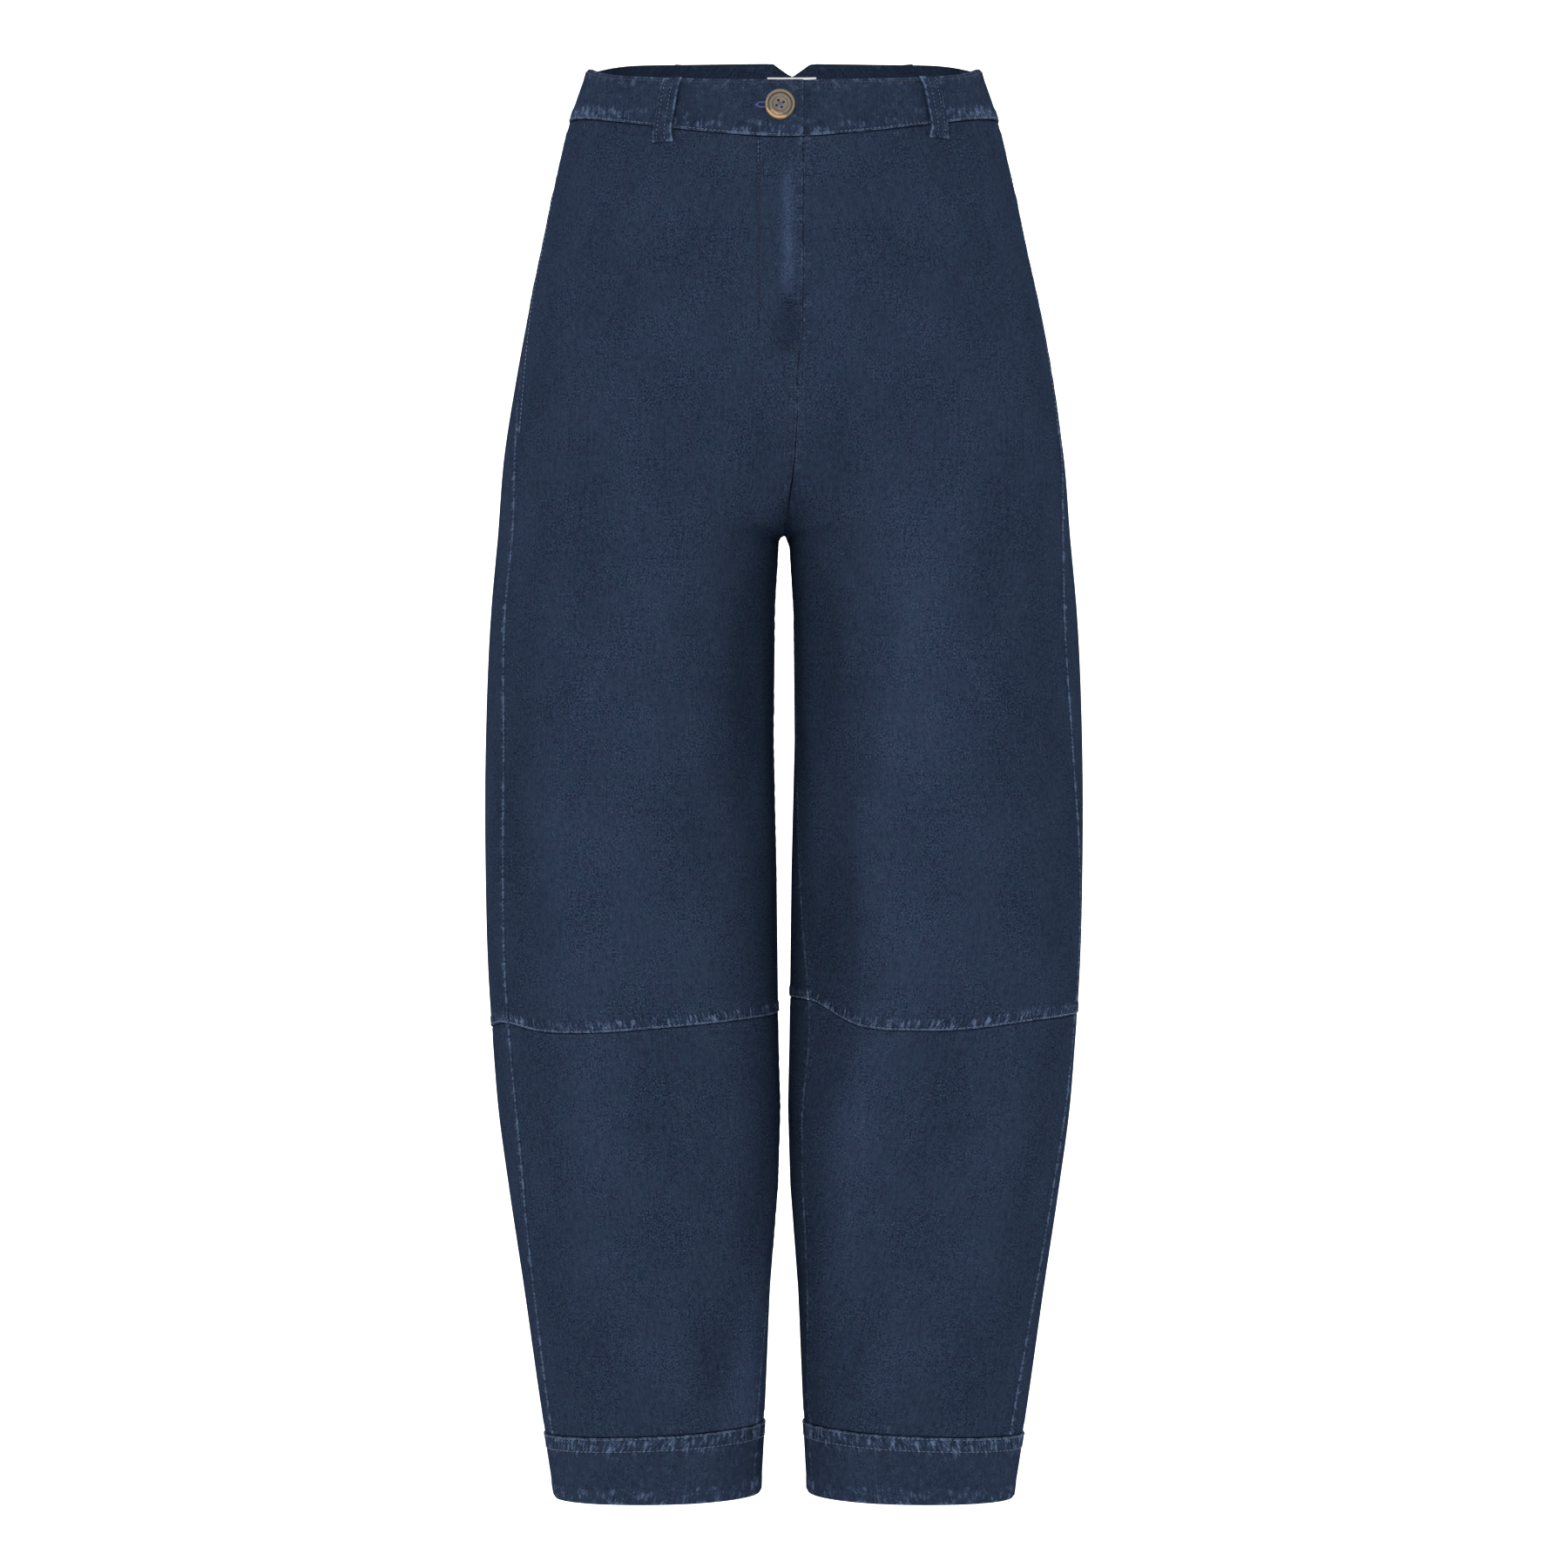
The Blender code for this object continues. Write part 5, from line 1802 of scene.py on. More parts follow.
@dataclass
class Cuffs:
    """The hem bands of both legs, each one strip sewn at the inseam."""

    form: GarmentForm
    finishes: Finishes
    stitcher: Stitcher
    wall: float = 0.0024
    proud: float = 0.0006
    gap: float = 0.00015
    row_count: int = 40
    column_step: float = 0.0014
    seam_band: float = 0.0096
    edge_row: float = 0.0012

    def build(self) -> list[Piece]:
        """Makes both cuffs."""
        return [self.cuff(side) for side in Side]

    def cuff(self, side: Side) -> Piece:
        """One cuff.

        Args:
            side: The leg.

        Returns:
            The piece.
        """
        form = self.form
        chart = cuff_chart(form, side)
        count = round(float(chart.width(np.array(-0.935))) / self.column_step)

        def columns(width: Array) -> Array:
            """Even columns round the leg."""
            return np.clip(width * np.linspace(0, 1, count + 1), self.gap, width - self.gap)

        lows = chart.edge_heights(columns, lambda point, degrees, z: form.hem_z(degrees), form.hem)
        tops = chart.edge_heights(columns, lambda point, degrees, z: form.cuff_top_z(degrees), form.cuff_top)
        shares = np.linspace(0, 1, self.row_count + 1)[:, None]
        shares = shares - 0.11 * np.sin(2 * math.pi * shares) / math.pi
        z = lows + shares * (tops - self.gap - lows)
        width = chart.width(z)
        at = chart.lengths(columns, z)
        seed = 300 + side.value
        top = SeamLook(
            lift=0.0002, roll=0.0003, band=self.seam_band, pucker=0.00050, step=0.0042,
            edge_wear=0.85, band_wear=0.40, edge_dark=0.1, gather=0.9,
            rows=(self.edge_row, self.seam_band), seed=seed,
        )
        low = SeamLook(
            lift=0.0002, roll=0.0010, roll_width=0.0022, band=0.010, pucker=0.0003, step=0.0090,
            edge_wear=0.50, band_wear=0.22, gather=0.4, seed=seed + 3,
        )
        join = SeamLook(lift=0.0003, band=0.005, pucker=0.0002, edge_wear=0.5, band_wear=0.2, seed=seed + 5)
        relief = top.relief(tops - z, at).plus(low.relief(z - lows, at))
        relief = relief.plus(join.relief(at, -z)).plus(join.relief(width - at, -z))
        # Painted shade: darker towards the leg's outer and inner sides, where the cuff turns away.
        sides = np.abs(np.cos(np.radians(chart.place(at, z)[2]))) ** 5
        relief = relief.plus(Relief(0.0, 0.0, -0.12 * sides))
        name = f"cuff_{side.name.lower()}"
        piece = grid_object(f"cloth_{name}", chart, at, z, relief, self.wall, self.proud)
        finish_piece(piece, self.finishes.band, [name])
        length = float(chart.width(np.array(-0.938)))
        depth = float(np.mean(tops - lows))
        for reach, seed in ((self.edge_row, 21), (self.seam_band, 22)):
            height = tops - reach
            line = chart.lengths(columns, height)
            self.stitcher.on_chart(chart, line, height, self.proud + 0.0005, seed=seed)
        self.stitcher.finish(f"stitches_{name}", self.finishes.thread, "denim_band")
        return piece


@dataclass
class Waistband:
    """The shaped waistband in two halves, the wearer's right lapped over the left."""

    form: GarmentForm
    finishes: Finishes
    stitcher: Stitcher
    wall: float = 0.0024
    proud: float = 0.0006
    gap: float = 0.00015
    underlap: float = 0.0300
    underlap_drop: float = 0.0019
    underlap_ease: float = 0.0085
    lap_raise: float = 0.0008
    lap_length: float = 0.0340
    lap_fade: float = 0.0120
    notch_half_width: float = 0.0135
    notch_depth: float = 0.0086
    column_step: float = 0.0015
    row_count: int = 34
    seam_row: float = 0.0014
    top_row: float = 0.0024
    lap_row: float = 0.0022
    buttonhole_tip: float = 0.0316
    buttonhole_z: float = -0.0190
    buttonhole_spread: float = 0.0016

    def build(self) -> list[Piece]:
        """Makes both halves."""
        return [self.half(side) for side in Side]

    def raised(self, side: Side, at: Array) -> Array:
        """How far the face stands out, at lengths from the front end.

        Args:
            side: The wearer's side.
            at: Lengths from the first edge.

        Returns:
            Distances outwards.
        """
        if side is Side.RIGHT:
            return self.proud + self.lap_raise * ease((self.lap_length + self.lap_fade - at) / self.lap_fade)
        under = ease((self.underlap + 0.0015 + self.underlap_ease - at) / self.underlap_ease)
        return self.proud - self.underlap_drop * under

    def notch_drop(self, to_end: Array) -> Array:
        """How far the top edge falls at the middle back."""
        flat = 0.0012
        return self.notch_depth * np.clip(1 - (to_end - flat) / (self.notch_half_width - flat), 0, 1)

    def half(self, side: Side) -> Piece:
        """One half, from its front end round the side to the middle back.

        Args:
            side: The wearer's side.

        Returns:
            The piece.
        """
        form = self.form
        front_x = FLY_EDGE_X if side is Side.RIGHT else FLY_EDGE_X - self.underlap
        chart = band_chart(form, side, front_x, form.centre_back_x)
        count = round(float(chart.width(np.array(-0.018))) / self.column_step)

        def columns(width: Array) -> Array:
            """Even columns, with the seam's gap left free at the middle back."""
            return np.minimum(width * np.linspace(0, 1, count + 1), width - self.gap)

        lows = chart.edge_heights(
            columns, lambda point, degrees, z: form.waist_seam_z(point, z), form.waist_z
        )
        tops = chart.edge_heights(
            columns, lambda point, degrees, z: form.band_top_z(point, z), form.waist_z
        )
        to_end = chart.width(tops) - chart.lengths(columns, tops)
        tops = tops - self.notch_drop(to_end)
        shares = np.linspace(0, 1, self.row_count + 1)[:, None]
        shares = shares - 0.13 * np.sin(2 * math.pi * shares) / math.pi
        z = lows + self.gap + shares * (tops - lows - self.gap)
        at = chart.lengths(columns, z)
        seed = 400 + side.value
        low = SeamLook(
            lift=0.0004, roll=0.0003, band=0.0085, pucker=0.00042, step=0.0034,
            edge_wear=0.80, band_wear=0.20, edge_dark=0.1, gather=0.5, rows=(0.0012,), seed=seed,
        )
        top = SeamLook(
            lift=0.0002, roll=0.0009, roll_width=0.0020, band=0.006, pucker=0.00025, step=0.0060,
            edge_wear=0.38, band_wear=0.16, seed=seed + 3,
        )
        front = SeamLook(
            lift=0.0003, roll=0.0006, band=0.006, pucker=0.0002, step=0.0050,
            edge_wear=1.0, band_wear=0.2, rows=(self.lap_row,), seed=seed + 5,
        )
        relief = low.relief(z - lows, at).plus(top.relief(tops - z, at))
        if side is Side.RIGHT:
            relief = relief.plus(front.relief(at, -z))
        point, _, _ = chart.place(at, z)
        by_side = ease((form.across_share(point, z) - 0.72) / 0.2)
        patchy = 0.6 + 0.4 * Ripple(9, 1.0, 0.004).at(at)
        rubbed = 0.55 * by_side * bell((z - lows - 0.005) / 0.0035) * patchy
        # Rubbed by the waist seam near the sides, and painted shade darker towards the sides.
        relief = relief.plus(Relief(0.0, rubbed, -0.10 * by_side))
        name = f"waistband_{side.name.lower()}"
        piece = grid_object(f"cloth_{name}", chart, at, z, relief, self.wall, self.raised(side, at))
        finish_piece(piece, self.finishes.band, [name])
        length = float(chart.width(np.array(-0.018)))
        depth = float(np.mean(tops - lows))
        self.sew(name, side, chart, columns, lows, tops)
        return piece

    def sew(
        self, name: str, side: Side, chart: Chart, columns: Callable, lows: Array, tops: Array
    ) -> None:
        """Sews the rows by the seam, the lapped end and the top edge, and the buttonhole.

        Args:
            name: The piece's name.
            side: The wearer's side.
            chart: The surface.
            columns: The columns' lengths.
            lows: The lower edge's height at each column.
            tops: The upper edge's height at each column.
        """
        first = 2 if side is Side.RIGHT else int(self.underlap / self.column_step) + 2
        height = lows + self.seam_row
        at = chart.lengths(columns, height)
        out = self.raised(side, at) + 0.0004
        self.stitcher.on_chart(chart, at[first:-2], height[first:-2], out[first:-2], 0.9, seed=31)
        self.stitcher.finish(f"stitches_{name}", self.finishes.thread, "denim_band")
        if side is Side.RIGHT:
            z = np.linspace(float(lows[2]) + 0.002, float(tops[2]) - 0.002, 20)
            at = np.full_like(z, self.lap_row)
            self.stitcher.on_chart(chart, at, z, self.raised(side, at) + 0.0003, 0.9, seed=32)
        height = tops - self.top_row
        at = chart.lengths(columns, height)
        out = self.raised(side, at)[2:-12] + 0.0003
        self.stitcher.on_chart(chart, at[2:-12], height[2:-12], out, seed=34)
        self.stitcher.finish(f"stitches_top_{name}", self.finishes.dark_thread, "denim_band")
        if side is Side.RIGHT:
            self.sew_buttonhole(chart)
            self.stitcher.finish("stitches_buttonhole", self.finishes.violet_thread, "denim_band")

    def sew_buttonhole(self, chart: Chart) -> None:
        """The close cross stitches round the pointed end of the buttonhole, beside the button.

        Args:
            chart: The surface.
        """
        half = 0.0007
        for reach in np.arange(0.0, 0.0062, 0.0006):
            spread = self.buttonhole_spread * float(ease(reach / 0.0028))
            for sign in (-1, 1):
                z = self.buttonhole_z + sign * spread + np.array([-half, half])
                point, normal, _ = chart.place(np.full(2, self.buttonhole_tip - reach), z)
                out = self.proud + self.lap_raise + 0.0005
                ends = np.concatenate([point + normal * out, z[:, None]], axis=1)
                self.stitcher.single(ends, np.array([*normal[0], 0.0]), 1.1)


@dataclass(frozen=True)
class LoopPlace:
    """A belt loop's place, by how far its middle lies from the middle plane at top and bottom."""

    name: str
    side: Side
    face: Face
    top_x: float
    low_x: float


class LoopRow(NamedTuple):
    """One bend of a belt loop: its share of the way up, and its share of the full gap."""

    up: float
    gap: float


@dataclass
class BeltLoops:
    """Folded strips sewn over the waistband, standing clear of it between their ends."""

    form: GarmentForm
    finishes: Finishes
    stitcher: Stitcher
    width: float = 0.0135
    thick: float = 0.0018
    gap: float = 0.0030
    below_seam: float = 0.0108
    below_top: float = 0.0002
    band_proud: float = 0.0006
    foot_flare: float = 0.12
    stitch_rows: tuple[float, float] = (-0.56, 0.24)
    places: tuple[LoopPlace, ...] = (
        LoopPlace("belt_loop_front_right", Side.RIGHT, Face.FRONT, top_x=0.0740, low_x=0.0812),
        LoopPlace("belt_loop_front_left", Side.LEFT, Face.FRONT, top_x=0.0960, low_x=0.1038),
        LoopPlace("belt_loop_back_right", Side.RIGHT, Face.BACK, top_x=0.0700, low_x=0.0760),
        LoopPlace("belt_loop_back_left", Side.LEFT, Face.BACK, top_x=0.0840, low_x=0.0900),
    )
    rows: tuple[LoopRow, ...] = (
        LoopRow(0.00, 0.00),
        LoopRow(0.06, 0.00),
        LoopRow(0.15, 0.70),
        LoopRow(0.24, 1.00),
        LoopRow(0.50, 1.05),
        LoopRow(0.76, 1.00),
        LoopRow(0.87, 0.70),
        LoopRow(0.95, 0.05),
        LoopRow(1.00, 0.00),
    )

    def build(self) -> list[Piece]:
        """Makes the loops."""
        return [self.loop(place, number) for number, place in enumerate(self.places)]

    def loop(self, place: LoopPlace, number: int) -> Piece:
        """One loop, whose edge towards the middle stands further off the waistband.

        Args:
            place: The loop's place.
            number: Its number, which gives it its own unevenness.

        Returns:
            The piece.
        """
        form = self.form
        low_point = form.body_spot(place.side.value * place.low_x, form.waist_z, place.face)[0]
        top_point = form.body_spot(place.side.value * place.top_x, 0.0, place.face)[0]
        low_z = float(form.waist_seam_z(low_point, np.array(form.waist_z))) - self.below_seam
        top_z = float(form.band_top_z(top_point, np.array(0.0))) - self.below_top
        bends = Curve(self.rows, "up", "gap")
        ups = np.linspace(0, 1, 61)
        shares = np.linspace(-1, 1, 19)
        wave = Ripple(500 + number, 0.1, 0.004)
        outer = np.zeros((len(ups), len(shares), 3))
        inner = np.zeros_like(outer)
        wear = np.zeros(outer.shape[:2])
        fade = np.zeros(outer.shape[:2])
        lines: dict[float, list[tuple[Array, Array]]] = {row: [] for row in self.stitch_rows}
        for i, up in enumerate(ups):
            z = low_z + up * (top_z - low_z)
            x = place.low_x + up * (place.top_x - place.low_x)
            spot, normal = form.body_spot(place.side.value * x, z, place.face)
            tangent = np.array([-normal[1], normal[0]])
            inward = -place.side.value * np.sign(tangent[0]) * shares
            on_band = self.band_proud * float(ease((up - 0.05) / 0.05))
            bend = float(np.clip(bends.at(np.array(up)), 0, 1.1))
            clear = on_band + 0.0006 + self.gap * bend
            end = min(up, 1 - up) * (top_z - low_z)
            tuck = 0.0009 * (1 - float(ease(end / 0.0015)))
            folded = 0.0005 * float(ease((0.0085 - end) / 0.002))
            flare = 1 + self.foot_flare * float(ease((0.22 - up) / 0.22))
            edge = np.abs(shares) ** 8
            ridge = 0.0004 * bell((inward - 0.82) / 0.16) * min(bend, 1.0)
            groove = sum(0.00018 * bell((inward - row) / 0.07) for row in self.stitch_rows)
            crown = self.thick + folded + ridge - groove - 0.0009 * edge - tuck
            crown = crown + 0.00015 * wave.at(up * 0.05 + inward * 0.002 + 0.01)
            foot = spot[None, :] + tangent[None, :] * (shares * flare * self.width / 2)[:, None]
            outer[i, :, :2] = foot + normal * (clear + crown)[:, None]
            inner[i, :, :2] = foot + normal * (clear + 0.0003 * edge)[:, None]
            outer[i, :, 2] = inner[i, :, 2] = z
            # The two side edges are pale, partly rubbed and partly a painted highlight, the edge towards the
            # middle most; the folded ends are rubbed pale.
            high = bell((inward - 0.90) / 0.07) + 0.75 * bell((inward + 0.94) / 0.06)
            wear[i] = 0.60 * high + 0.34 * bell((end - 0.0008) / 0.0010) + 0.05
            # Painted shade in the stitching grooves.
            fade[i] = sum(-0.55 * bell((inward - row) / 0.10) for row in self.stitch_rows)
            for row, line in lines.items():
                k = int(np.argmin(np.abs(inward - row)))
                on_face = np.array([*(foot[k] + normal * (clear + crown[k])), z])
                line.append((on_face, np.array([*normal, 0.0])))
        cloth = np.stack(np.meshgrid(shares * self.width / 2 + 0.1, ups * 0.05 + 0.2), axis=-1)
        piece = shell_object(f"cloth_{place.name}", outer, inner, cloth, Relief(0.0, wear, fade), 2)
        finish_piece(piece, self.finishes.band, [place.name])
        for seed, line in enumerate(lines.values()):
            points, normals = (np.array(part) for part in zip(*line[2:-2]))
            self.stitcher.row(points, normals, 0.85, seed=40 + seed)
        self.stitcher.finish(f"stitches_{place.name}", self.finishes.thread, "denim_band")
        return piece


# Button, label and zip


def deselect_all() -> None:
    """Leaves nothing selected."""
    for each in bpy.context.selected_objects:
        each.select_set(False)


def select_faces(piece: Piece, wanted: Callable[[bpy.types.MeshPolygon], bool]) -> None:
    """Selects the faces that pass a test, and leaves edit mode on with face select.

    Args:
        piece: The object.
        wanted: The test.
    """
    bpy.ops.object.mode_set(mode="OBJECT")
    for part in (piece.data.vertices, piece.data.edges, piece.data.polygons):
        part.foreach_set("select", [False] * len(part))
    for face in piece.data.polygons:
        face.select = wanted(face)
    bpy.ops.object.mode_set(mode="EDIT")
    bpy.ops.mesh.select_mode(type="FACE")


@dataclass
class WaistButton:
    """The four-hole button, its sewing thread and its place on the lap."""

    form: GarmentForm
    x: float = -0.0026
    z: float = -0.0195
    radius: float = 0.0100
    thick: float = 0.0034
    rim: float = 0.0026
    dish: float = 0.0011
    hole_radius: float = 0.00088
    hole_spread: float = 0.0025
    hole_turn: float = math.radians(-20)
    clear: float = 0.0006 + 0.0008 + 0.0006

    def place(self) -> Matrix:
        """The button's place: its back on the waistband's slope, with its face along local +Z.

        Returns:
            The place.
        """
        def spot(z: float) -> Vector:
            """A point of the front."""
            return Vector((*self.form.body_spot(self.x, z, Face.FRONT)[0], z))

        low, high = spot(self.z - self.radius), spot(self.z + self.radius)
        up = (high - low).normalized()
        out = up.cross(Vector((1, 0, 0))).normalized()
        if out.y > 0:
            out = -out
        across = up.cross(out).normalized()
        place = Matrix((across, up, out)).transposed().to_4x4()
        place.translation = (low + high) / 2 + out * self.clear
        return place

    def build(self) -> list[Piece]:
        """Makes the button and its thread.

        Returns:
            The pieces.
        """
        deselect_all()
        bpy.ops.mesh.primitive_cylinder_add(
            vertices=64, radius=self.radius, depth=self.thick, location=(0, 0, self.thick / 2)
        )
        button = bpy.context.object
        button.name = "button_waist"
        bpy.ops.object.transform_apply(location=True, rotation=False, scale=False)
        top = self.thick
        select_faces(button, lambda face: face.normal.z > 0.9)
        bpy.ops.mesh.inset(thickness=0.0008)
        bpy.ops.transform.translate(value=(0, 0, 0.0001))
        bpy.ops.mesh.inset(thickness=0.0010)
        bpy.ops.mesh.inset(thickness=0.0004)
        bpy.ops.transform.translate(value=(0, 0, -0.0010))
        bpy.ops.mesh.inset(thickness=0.0005)
        bpy.ops.transform.translate(value=(0, 0, 0.0004))
        bpy.ops.mesh.inset(thickness=0.0018)
        bpy.ops.mesh.inset(thickness=0.0008)
        bpy.ops.transform.translate(value=(0, 0, -0.0004))
        select_faces(button, lambda face: face.normal.z < -0.9)
        bpy.ops.mesh.inset(thickness=0.0018)
        bpy.ops.transform.translate(value=(0, 0, -0.0002))
        bpy.ops.object.mode_set(mode="OBJECT")
        self.round_edges(button)
        for k in range(4):
            self.drill(button, self.hole_turn + math.radians(45 + 90 * k), top)
        button.data.shade_smooth()
        button.data.set_sharp_from_angle(angle=math.radians(35))
        place = self.place()
        button.data.transform(place)
        horn = HornFinish(centre=tuple(place.translation)).make()
        finish_piece(button, horn, ["waist_button"])
        return [button, self.thread(place)]

    def round_edges(self, button: Piece) -> None:
        """Rounds the rim and the groove.

        Args:
            button: The button.
        """
        bevel = button.modifiers.new("rounding", "BEVEL")
        bevel.width = 0.00022
        bevel.segments = 3
        bevel.limit_method = "ANGLE"
        bevel.angle_limit = math.radians(25)
        bpy.context.view_layer.objects.active = button
        bpy.ops.object.modifier_apply(modifier=bevel.name)

    def drill(self, button: Piece, turn: float, top: float) -> None:
        """Drills one hole through the button.

        Args:
            button: The button.
            turn: The hole's angle.
            top: The button's thickness.
        """
        deselect_all()
        spot = (self.hole_spread * math.cos(turn), self.hole_spread * math.sin(turn), top / 2)
        bpy.ops.mesh.primitive_cylinder_add(
            vertices=20, radius=self.hole_radius, depth=top * 3, location=spot
        )
        drill = bpy.context.object
        cut = button.modifiers.new("hole", "BOOLEAN")
        cut.operation = "DIFFERENCE"
        cut.solver = "EXACT"
        cut.object = drill
        bpy.context.view_layer.objects.active = button
        bpy.ops.object.modifier_apply(modifier=cut.name)
        bpy.data.objects.remove(drill, do_unlink=True)

    def thread(self, place: Matrix) -> Piece:
        """The crossed threads that hold the button, sunk into its holes.

        Args:
            place: The button's place.

        Returns:
            The piece.
        """
        sewing = Stitcher(radius=0.00025, sides=8)
        level = self.thick - self.dish + 0.0001
        for k in range(4):
            first = self.hole_turn + math.radians(45 + 90 * k)
            last = self.hole_turn + math.radians(45 + 90 * (k + 2))
            for step in (-0.0003, 0.0003):
                reach = self.hole_spread
                ends = [
                    Vector((reach * math.cos(a) + step, reach * math.sin(a) - step, level))
                    for a in (first, last)
                ]
                shares = np.linspace(0, 1, 9)
                arch = [Vector((0, 0, 0.0004 * math.sin(math.pi * s) - 0.0003)) for s in shares]
                line = np.array([place @ (ends[0].lerp(ends[1], s) + rise) for s, rise in zip(shares, arch)])
                out = np.array(place.to_3x3() @ Vector((0, 0, 1)))
                sewing.length = float(np.linalg.norm(line[-1] - line[0])) * 0.96
                sewing.gap = 0.0
                sewing.row(line, np.tile(out, (len(line), 1)), 1.0, seed=60 + k)
        violet = ThreadFinish(name="button_thread", colour=(0.120, 0.115, 0.330))
        return sewing.finish("button_thread", violet.make(), "button")


@dataclass
class WaistLabel:
    """The blank woven label inside the back of the waistband."""

    form: GarmentForm
    width: float = 0.0350
    height: float = 0.0160
    thick: float = 0.0010
    drop: float = 0.0098
    clear: float = 0.0006 - 0.0024 - 0.0003

    def build(self) -> Piece:
        """Makes the label.

        Returns:
            The pieces.
        """
        form = self.form
        spot = form.body_spot(form.centre_back_x, 0.0, Face.BACK)[0]
        top = float(form.band_top_z(spot, np.array(0.0))) - self.drop
        ups, acrosses = np.linspace(0, 1, 21), np.linspace(-0.5, 0.5, 41)
        outer = np.zeros((len(ups), len(acrosses), 3))
        inner = np.zeros_like(outer)
        for i, up in enumerate(ups):
            z = top - up * self.height
            for j, across in enumerate(acrosses):
                x = form.centre_back_x + across * self.width
                point, normal = form.body_spot(x, z, Face.BACK)
                fold = 0.0003 * float(bell((0.5 - abs(across)) * self.width / 0.002))
                outer[i, j] = (*(point + normal * self.clear), z)
                inner[i, j] = (*(point + normal * (self.clear - self.thick - fold)), z)
        cloth = np.stack(np.meshgrid(acrosses * self.width + 0.1, ups * self.height + 0.1), axis=-1)
        piece = shell_object("cloth_waist_label", outer, inner, cloth)
        white = TapeFinish(name="label_white", colour=(0.95, 0.95, 0.93)).make()
        finish_piece(piece, white, ["waist_label"])
        return piece


@dataclass
class FlyZip:
    """The closed zip behind the fly: two tapes, interlocking teeth and a slider at the top."""

    form: GarmentForm
    top_z: float = -0.048
    low_z: float = -0.186
    middle_x: float = 0.0030
    tape_width: float = 0.028
    tape: float = 0.0008
    clear: float = -0.0014 - 0.0003
    tooth_pitch: float = 0.0022

    def frame(self, z: float) -> Matrix:
        """A place on the tape: X across it, Y up it and Z out of the front.

        Args:
            z: The height.

        Returns:
            The place.
        """
        spot, normal = self.form.body_spot(self.middle_x, z, Face.FRONT)
        out = Vector((*normal, 0.0))
        across = Vector((0, 0, 1)).cross(out)
        place = Matrix((across, Vector((0, 0, 1)), out)).transposed().to_4x4()
        place.translation = Vector((*spot, z)) + out * self.clear
        return place

    def build(self) -> list[Piece]:
        """Makes the tape and its metal."""
        return [self.tapes(), self.metal()]

    def tapes(self) -> Piece:
        """Both tapes, as one band that is thicker where it holds the teeth.

        Returns:
            The piece.
        """
        heights = np.linspace(self.top_z, self.low_z, 47)
        acrosses = np.linspace(-0.5, 0.5, 29)
        outer = np.zeros((len(heights), len(acrosses), 3))
        inner = np.zeros_like(outer)
        for i, z in enumerate(heights):
            for j, across in enumerate(acrosses):
                spot, normal = self.form.body_spot(self.middle_x + across * self.tape_width, z, Face.FRONT)
                cord = 0.0004 * float(bell((abs(across) * self.tape_width - 0.0035) / 0.0006))
                outer[i, j] = (*(spot + normal * self.clear), z)
                inner[i, j] = (*(spot + normal * (self.clear - self.tape - cord)), z)
        cloth = np.stack(np.meshgrid(acrosses * self.tape_width + 0.1, heights + 0.3), axis=-1)
        piece = shell_object("cloth_fly_zip", outer, inner, cloth)
        navy = TapeFinish(name="zip_tape", colour=(0.020, 0.026, 0.050)).make()
        finish_piece(piece, navy, ["fly_zip"])
        return piece

    def metal(self) -> Piece:
        """The teeth, the slider and the stop at the bottom, behind the tape.

        Returns:
            The piece.
        """
        deselect_all()
        bpy.ops.mesh.primitive_cube_add(size=1)
        tooth = bpy.context.object
        tooth.scale = (0.0036, 0.0011, 0.0013)
        bpy.ops.object.transform_apply(location=False, rotation=False, scale=True)
        bpy.ops.object.mode_set(mode="EDIT")
        bpy.ops.mesh.bevel(offset=0.0002, segments=1)
        bpy.ops.object.mode_set(mode="OBJECT")
        metal = bmesh.new()
        count = int((self.top_z - self.low_z - 0.012) / self.tooth_pitch * 2)
        for k in range(count):
            z = self.top_z - 0.010 - k * self.tooth_pitch / 2
            side = 0.0011 if k % 2 else -0.0011
            self.join(metal, tooth.data, self.frame(z) @ Matrix.Translation((side, 0, -0.0014)))
        bpy.data.objects.remove(tooth, do_unlink=True)
        slider = (self.top_z - 0.007, (0.0070, 0.0085, 0.0014))
        stop = (self.low_z + 0.002, (0.0060, 0.0030, 0.0012))
        for z, size in (slider, stop):
            block = self.block(size)
            self.join(metal, block.data, self.frame(z) @ Matrix.Translation((0, 0, -0.0022)))
            bpy.data.objects.remove(block, do_unlink=True)
        mesh = bpy.data.meshes.new("zip_teeth")
        metal.to_mesh(mesh)
        metal.free()
        piece = bpy.data.objects.new("zip_teeth", mesh)
        bpy.context.collection.objects.link(piece)
        brass = Paint("zip_brass")
        brass.set(base_color=(0.36, 0.25, 0.10), metallic=1.0, roughness=0.38)
        return finish_piece(piece, brass.material)

    def block(self, size: Triple) -> Piece:
        """A rounded block of the size given.

        Args:
            size: Its width, depth and height.

        Returns:
            The block.
        """
        deselect_all()
        bpy.ops.mesh.primitive_cube_add(size=1)
        block = bpy.context.object
        block.scale = size
        bpy.ops.object.transform_apply(location=False, rotation=False, scale=True)
        bpy.ops.object.mode_set(mode="EDIT")
        bpy.ops.mesh.select_all(action="SELECT")
        bpy.ops.mesh.bevel(offset=0.0004, segments=2)
        bpy.ops.object.mode_set(mode="OBJECT")
        return block

    def join(self, metal: bmesh.types.BMesh, mesh: bpy.types.Mesh, place: Matrix) -> None:
        """Adds a copy of a mesh at a place.

        Args:
            metal: The mesh that takes the copy.
            mesh: The mesh to copy.
            place: Where the copy goes.
        """
        copy = mesh.copy()
        copy.transform(place)
        metal.from_mesh(copy)
        bpy.data.meshes.remove(copy)


# Camera, light and floor


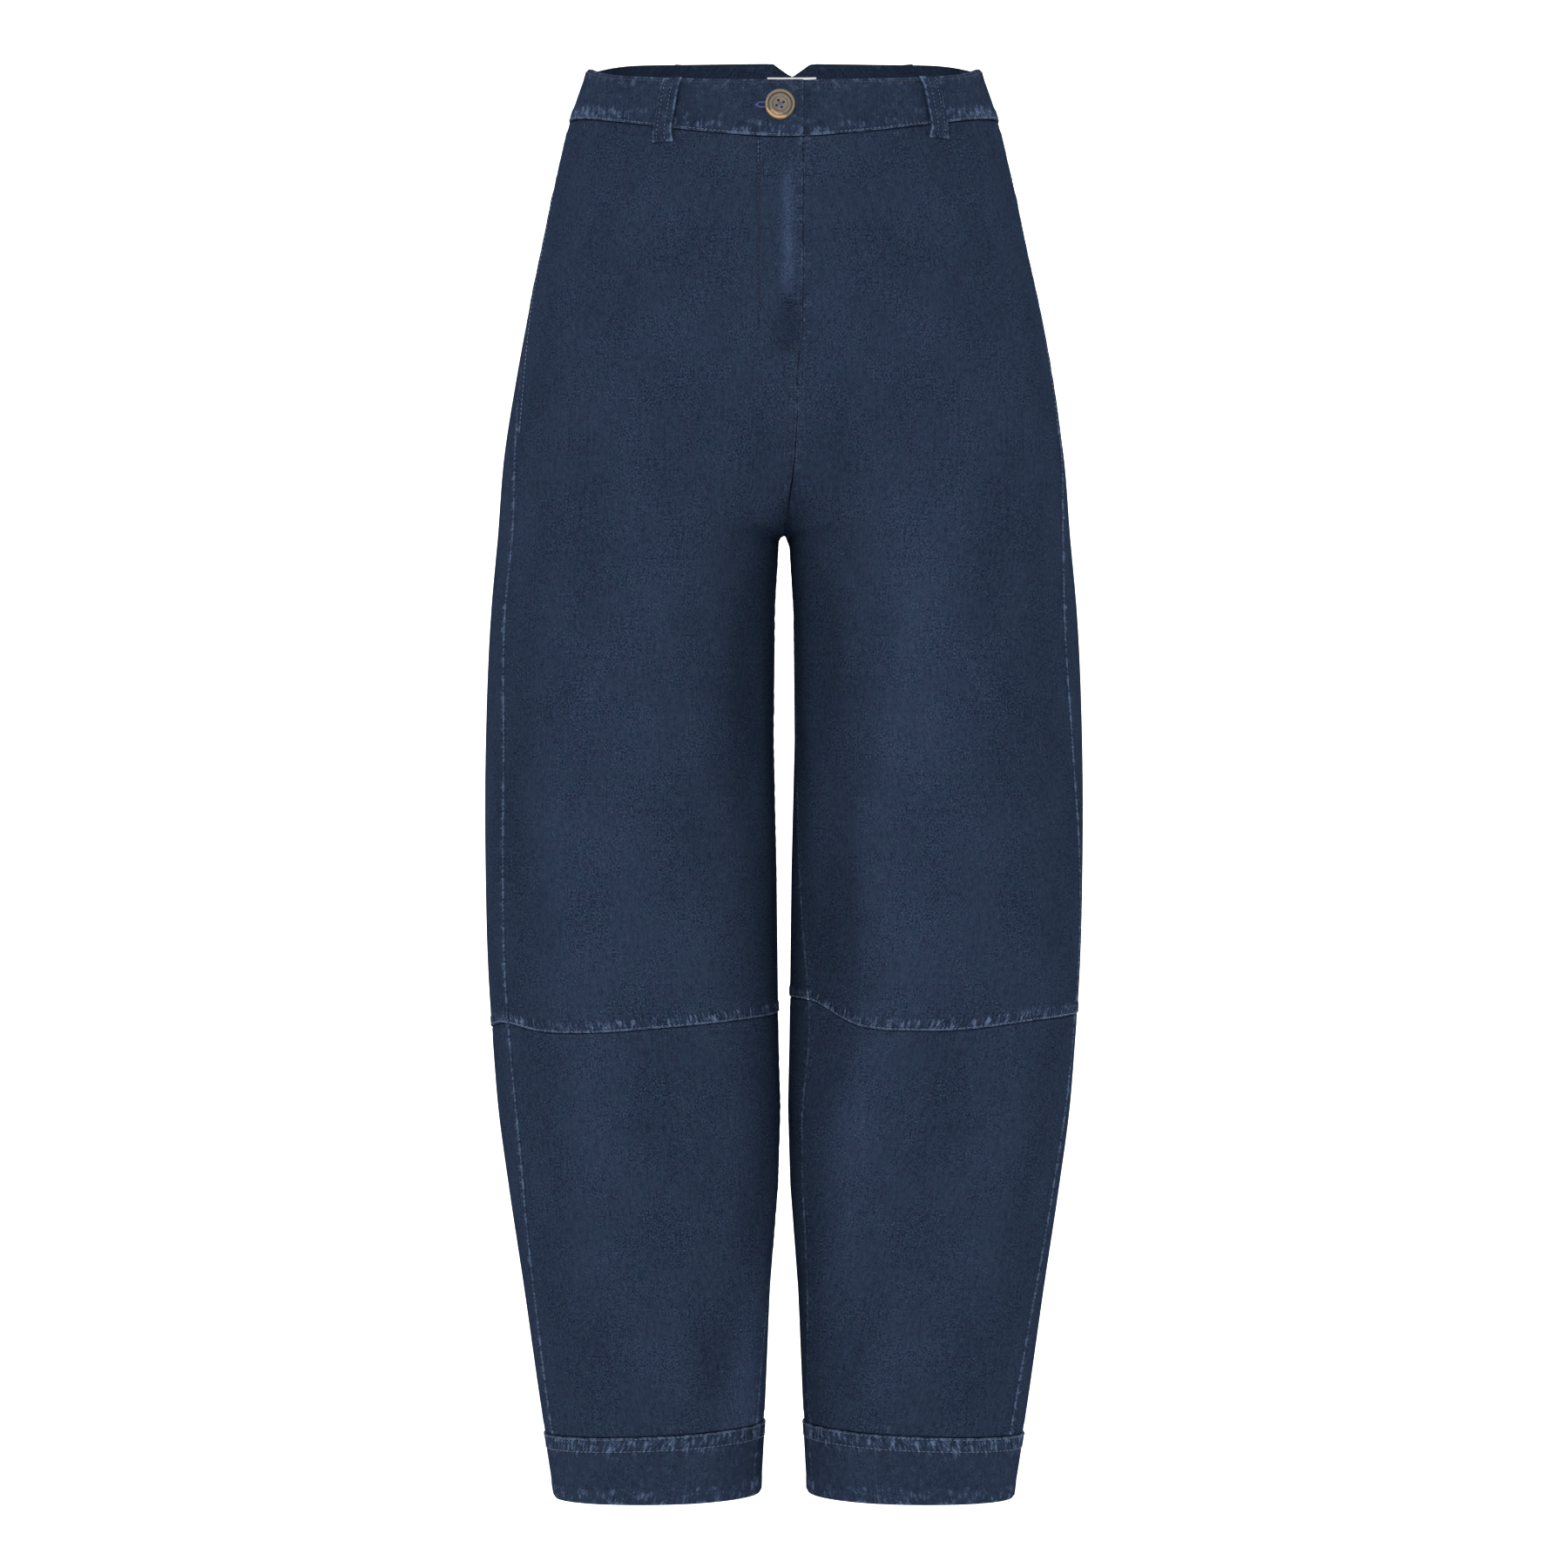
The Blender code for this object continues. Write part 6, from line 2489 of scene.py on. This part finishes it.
@dataclass
class Studio:
    """The camera, the soft lights and the pale floor."""

    distance: float = 3.2
    eye_z: float = -0.473
    frame_width: float = 1.08
    sensor: float = 36.0
    floor_z: float = -1.06
    key_watts: float = 55
    fill_watts: float = 31
    wall_watts: float = 330
    floor_watts: float = 40
    world_strength: float = 0.42

    def camera(self) -> None:
        """A level camera in front, whose frame is as wide as the picture's."""
        data = bpy.data.cameras.new("camera")
        data.sensor_width = self.sensor
        data.lens = self.sensor * self.distance / self.frame_width
        eye = bpy.data.objects.new("camera", data)
        eye.location = (0, -self.distance, self.eye_z)
        eye.rotation_euler = (math.radians(90), 0, 0)
        bpy.context.collection.objects.link(eye)
        bpy.context.scene.camera = eye

    def light(self, name: str, place: tuple, aim: tuple, size: tuple, power: float) -> None:
        """One soft rectangular light.

        Args:
            name: Its name.
            place: Where it stands.
            aim: The point it looks at.
            size: Its width and height.
            power: Its power in watts.
        """
        data = bpy.data.lights.new(name, "AREA")
        data.shape = "RECTANGLE"
        data.size, data.size_y = size
        data.energy = power
        lamp = bpy.data.objects.new(name, data)
        lamp.location = place
        lamp.rotation_euler = (Vector(aim) - Vector(place)).to_track_quat("-Z", "Y").to_euler()
        lamp.visible_camera = False
        bpy.context.collection.objects.link(lamp)

    def lights(self) -> None:
        """A soft light over the camera, a weaker one level with it, and one for the pale wall."""
        self.light("key", (-0.3, -3.4, 1.1), (0.0, 0.0, -0.45), (1.4, 1.4), self.key_watts)
        self.light("fill", (-0.5, -3.9, -0.5), (0.0, 0.0, -0.50), (2.2, 1.6), self.fill_watts)
        self.light("wall", (0.0, 1.2, 2.4), (0.0, 4.4, -0.6), (5.0, 1.5), self.wall_watts)
        self.light("floor", (0.0, 0.5, 2.6), (0.0, 1.0, -1.1), (3.0, 2.0), self.floor_watts)

    def world(self) -> None:
        """A faint even light from all round."""
        world = bpy.data.worlds.new("studio")
        world.use_nodes = True
        world.node_tree.nodes["Background"].inputs["Color"].default_value = (1.0, 1.0, 1.0, 1.0)
        world.node_tree.nodes["Background"].inputs["Strength"].default_value = self.world_strength
        bpy.context.scene.world = world

    def floor(self) -> None:
        """A round pale floor that curves up into a wall all round."""
        deselect_all()
        bend, reach, height = 1.2, 5.2, 4.2
        profile = [(0.0, 0.0), (reach - bend, 0.0)]
        for k in range(1, 13):
            turn = math.pi / 2 * k / 12
            profile.append((reach - bend + bend * math.sin(turn), bend - bend * math.cos(turn)))
        profile.append((reach, height))
        mesh = bpy.data.meshes.new("floor")
        edges = [(k, k + 1) for k in range(len(profile) - 1)]
        mesh.from_pydata([(r, 0.0, self.floor_z + z) for r, z in profile], edges, [])
        sweep = bpy.data.objects.new("floor", mesh)
        bpy.context.collection.objects.link(sweep)
        bpy.context.view_layer.objects.active = sweep
        sweep.select_set(True)
        bpy.ops.object.mode_set(mode="EDIT")
        bpy.ops.mesh.select_all(action="SELECT")
        bpy.ops.mesh.spin(steps=64, angle=2 * math.pi, center=(0, 0, 0), axis=(0, 0, 1))
        bpy.ops.mesh.select_all(action="SELECT")
        bpy.ops.mesh.remove_doubles(threshold=0.0001)
        bpy.ops.mesh.normals_make_consistent(inside=True)
        bpy.ops.object.mode_set(mode="OBJECT")
        mesh.shade_smooth()
        mesh.materials.append(StageFinish().make())

    def build(self) -> None:
        """Sets up everything round the garment."""
        self.camera()
        self.lights()
        self.world()
        self.floor()
        bpy.context.scene.view_settings.view_transform = "Standard"


def main() -> None:
    """Dresses the jeans and sets up the studio."""
    logging.basicConfig(level=logging.INFO, format="%(name)s: %(message)s")
    form = GarmentForm()
    finishes = Finishes()
    stitcher = Stitcher()
    LegPanels(form, finishes, stitcher).build()
    Cuffs(form, finishes, stitcher).build()
    Waistband(form, finishes, stitcher).build()
    BeltLoops(form, finishes, stitcher).build()
    WaistButton(form).build()
    WaistLabel(form).build()
    FlyZip(form).build()
    Studio().build()


if __name__ == "__main__":
    main()
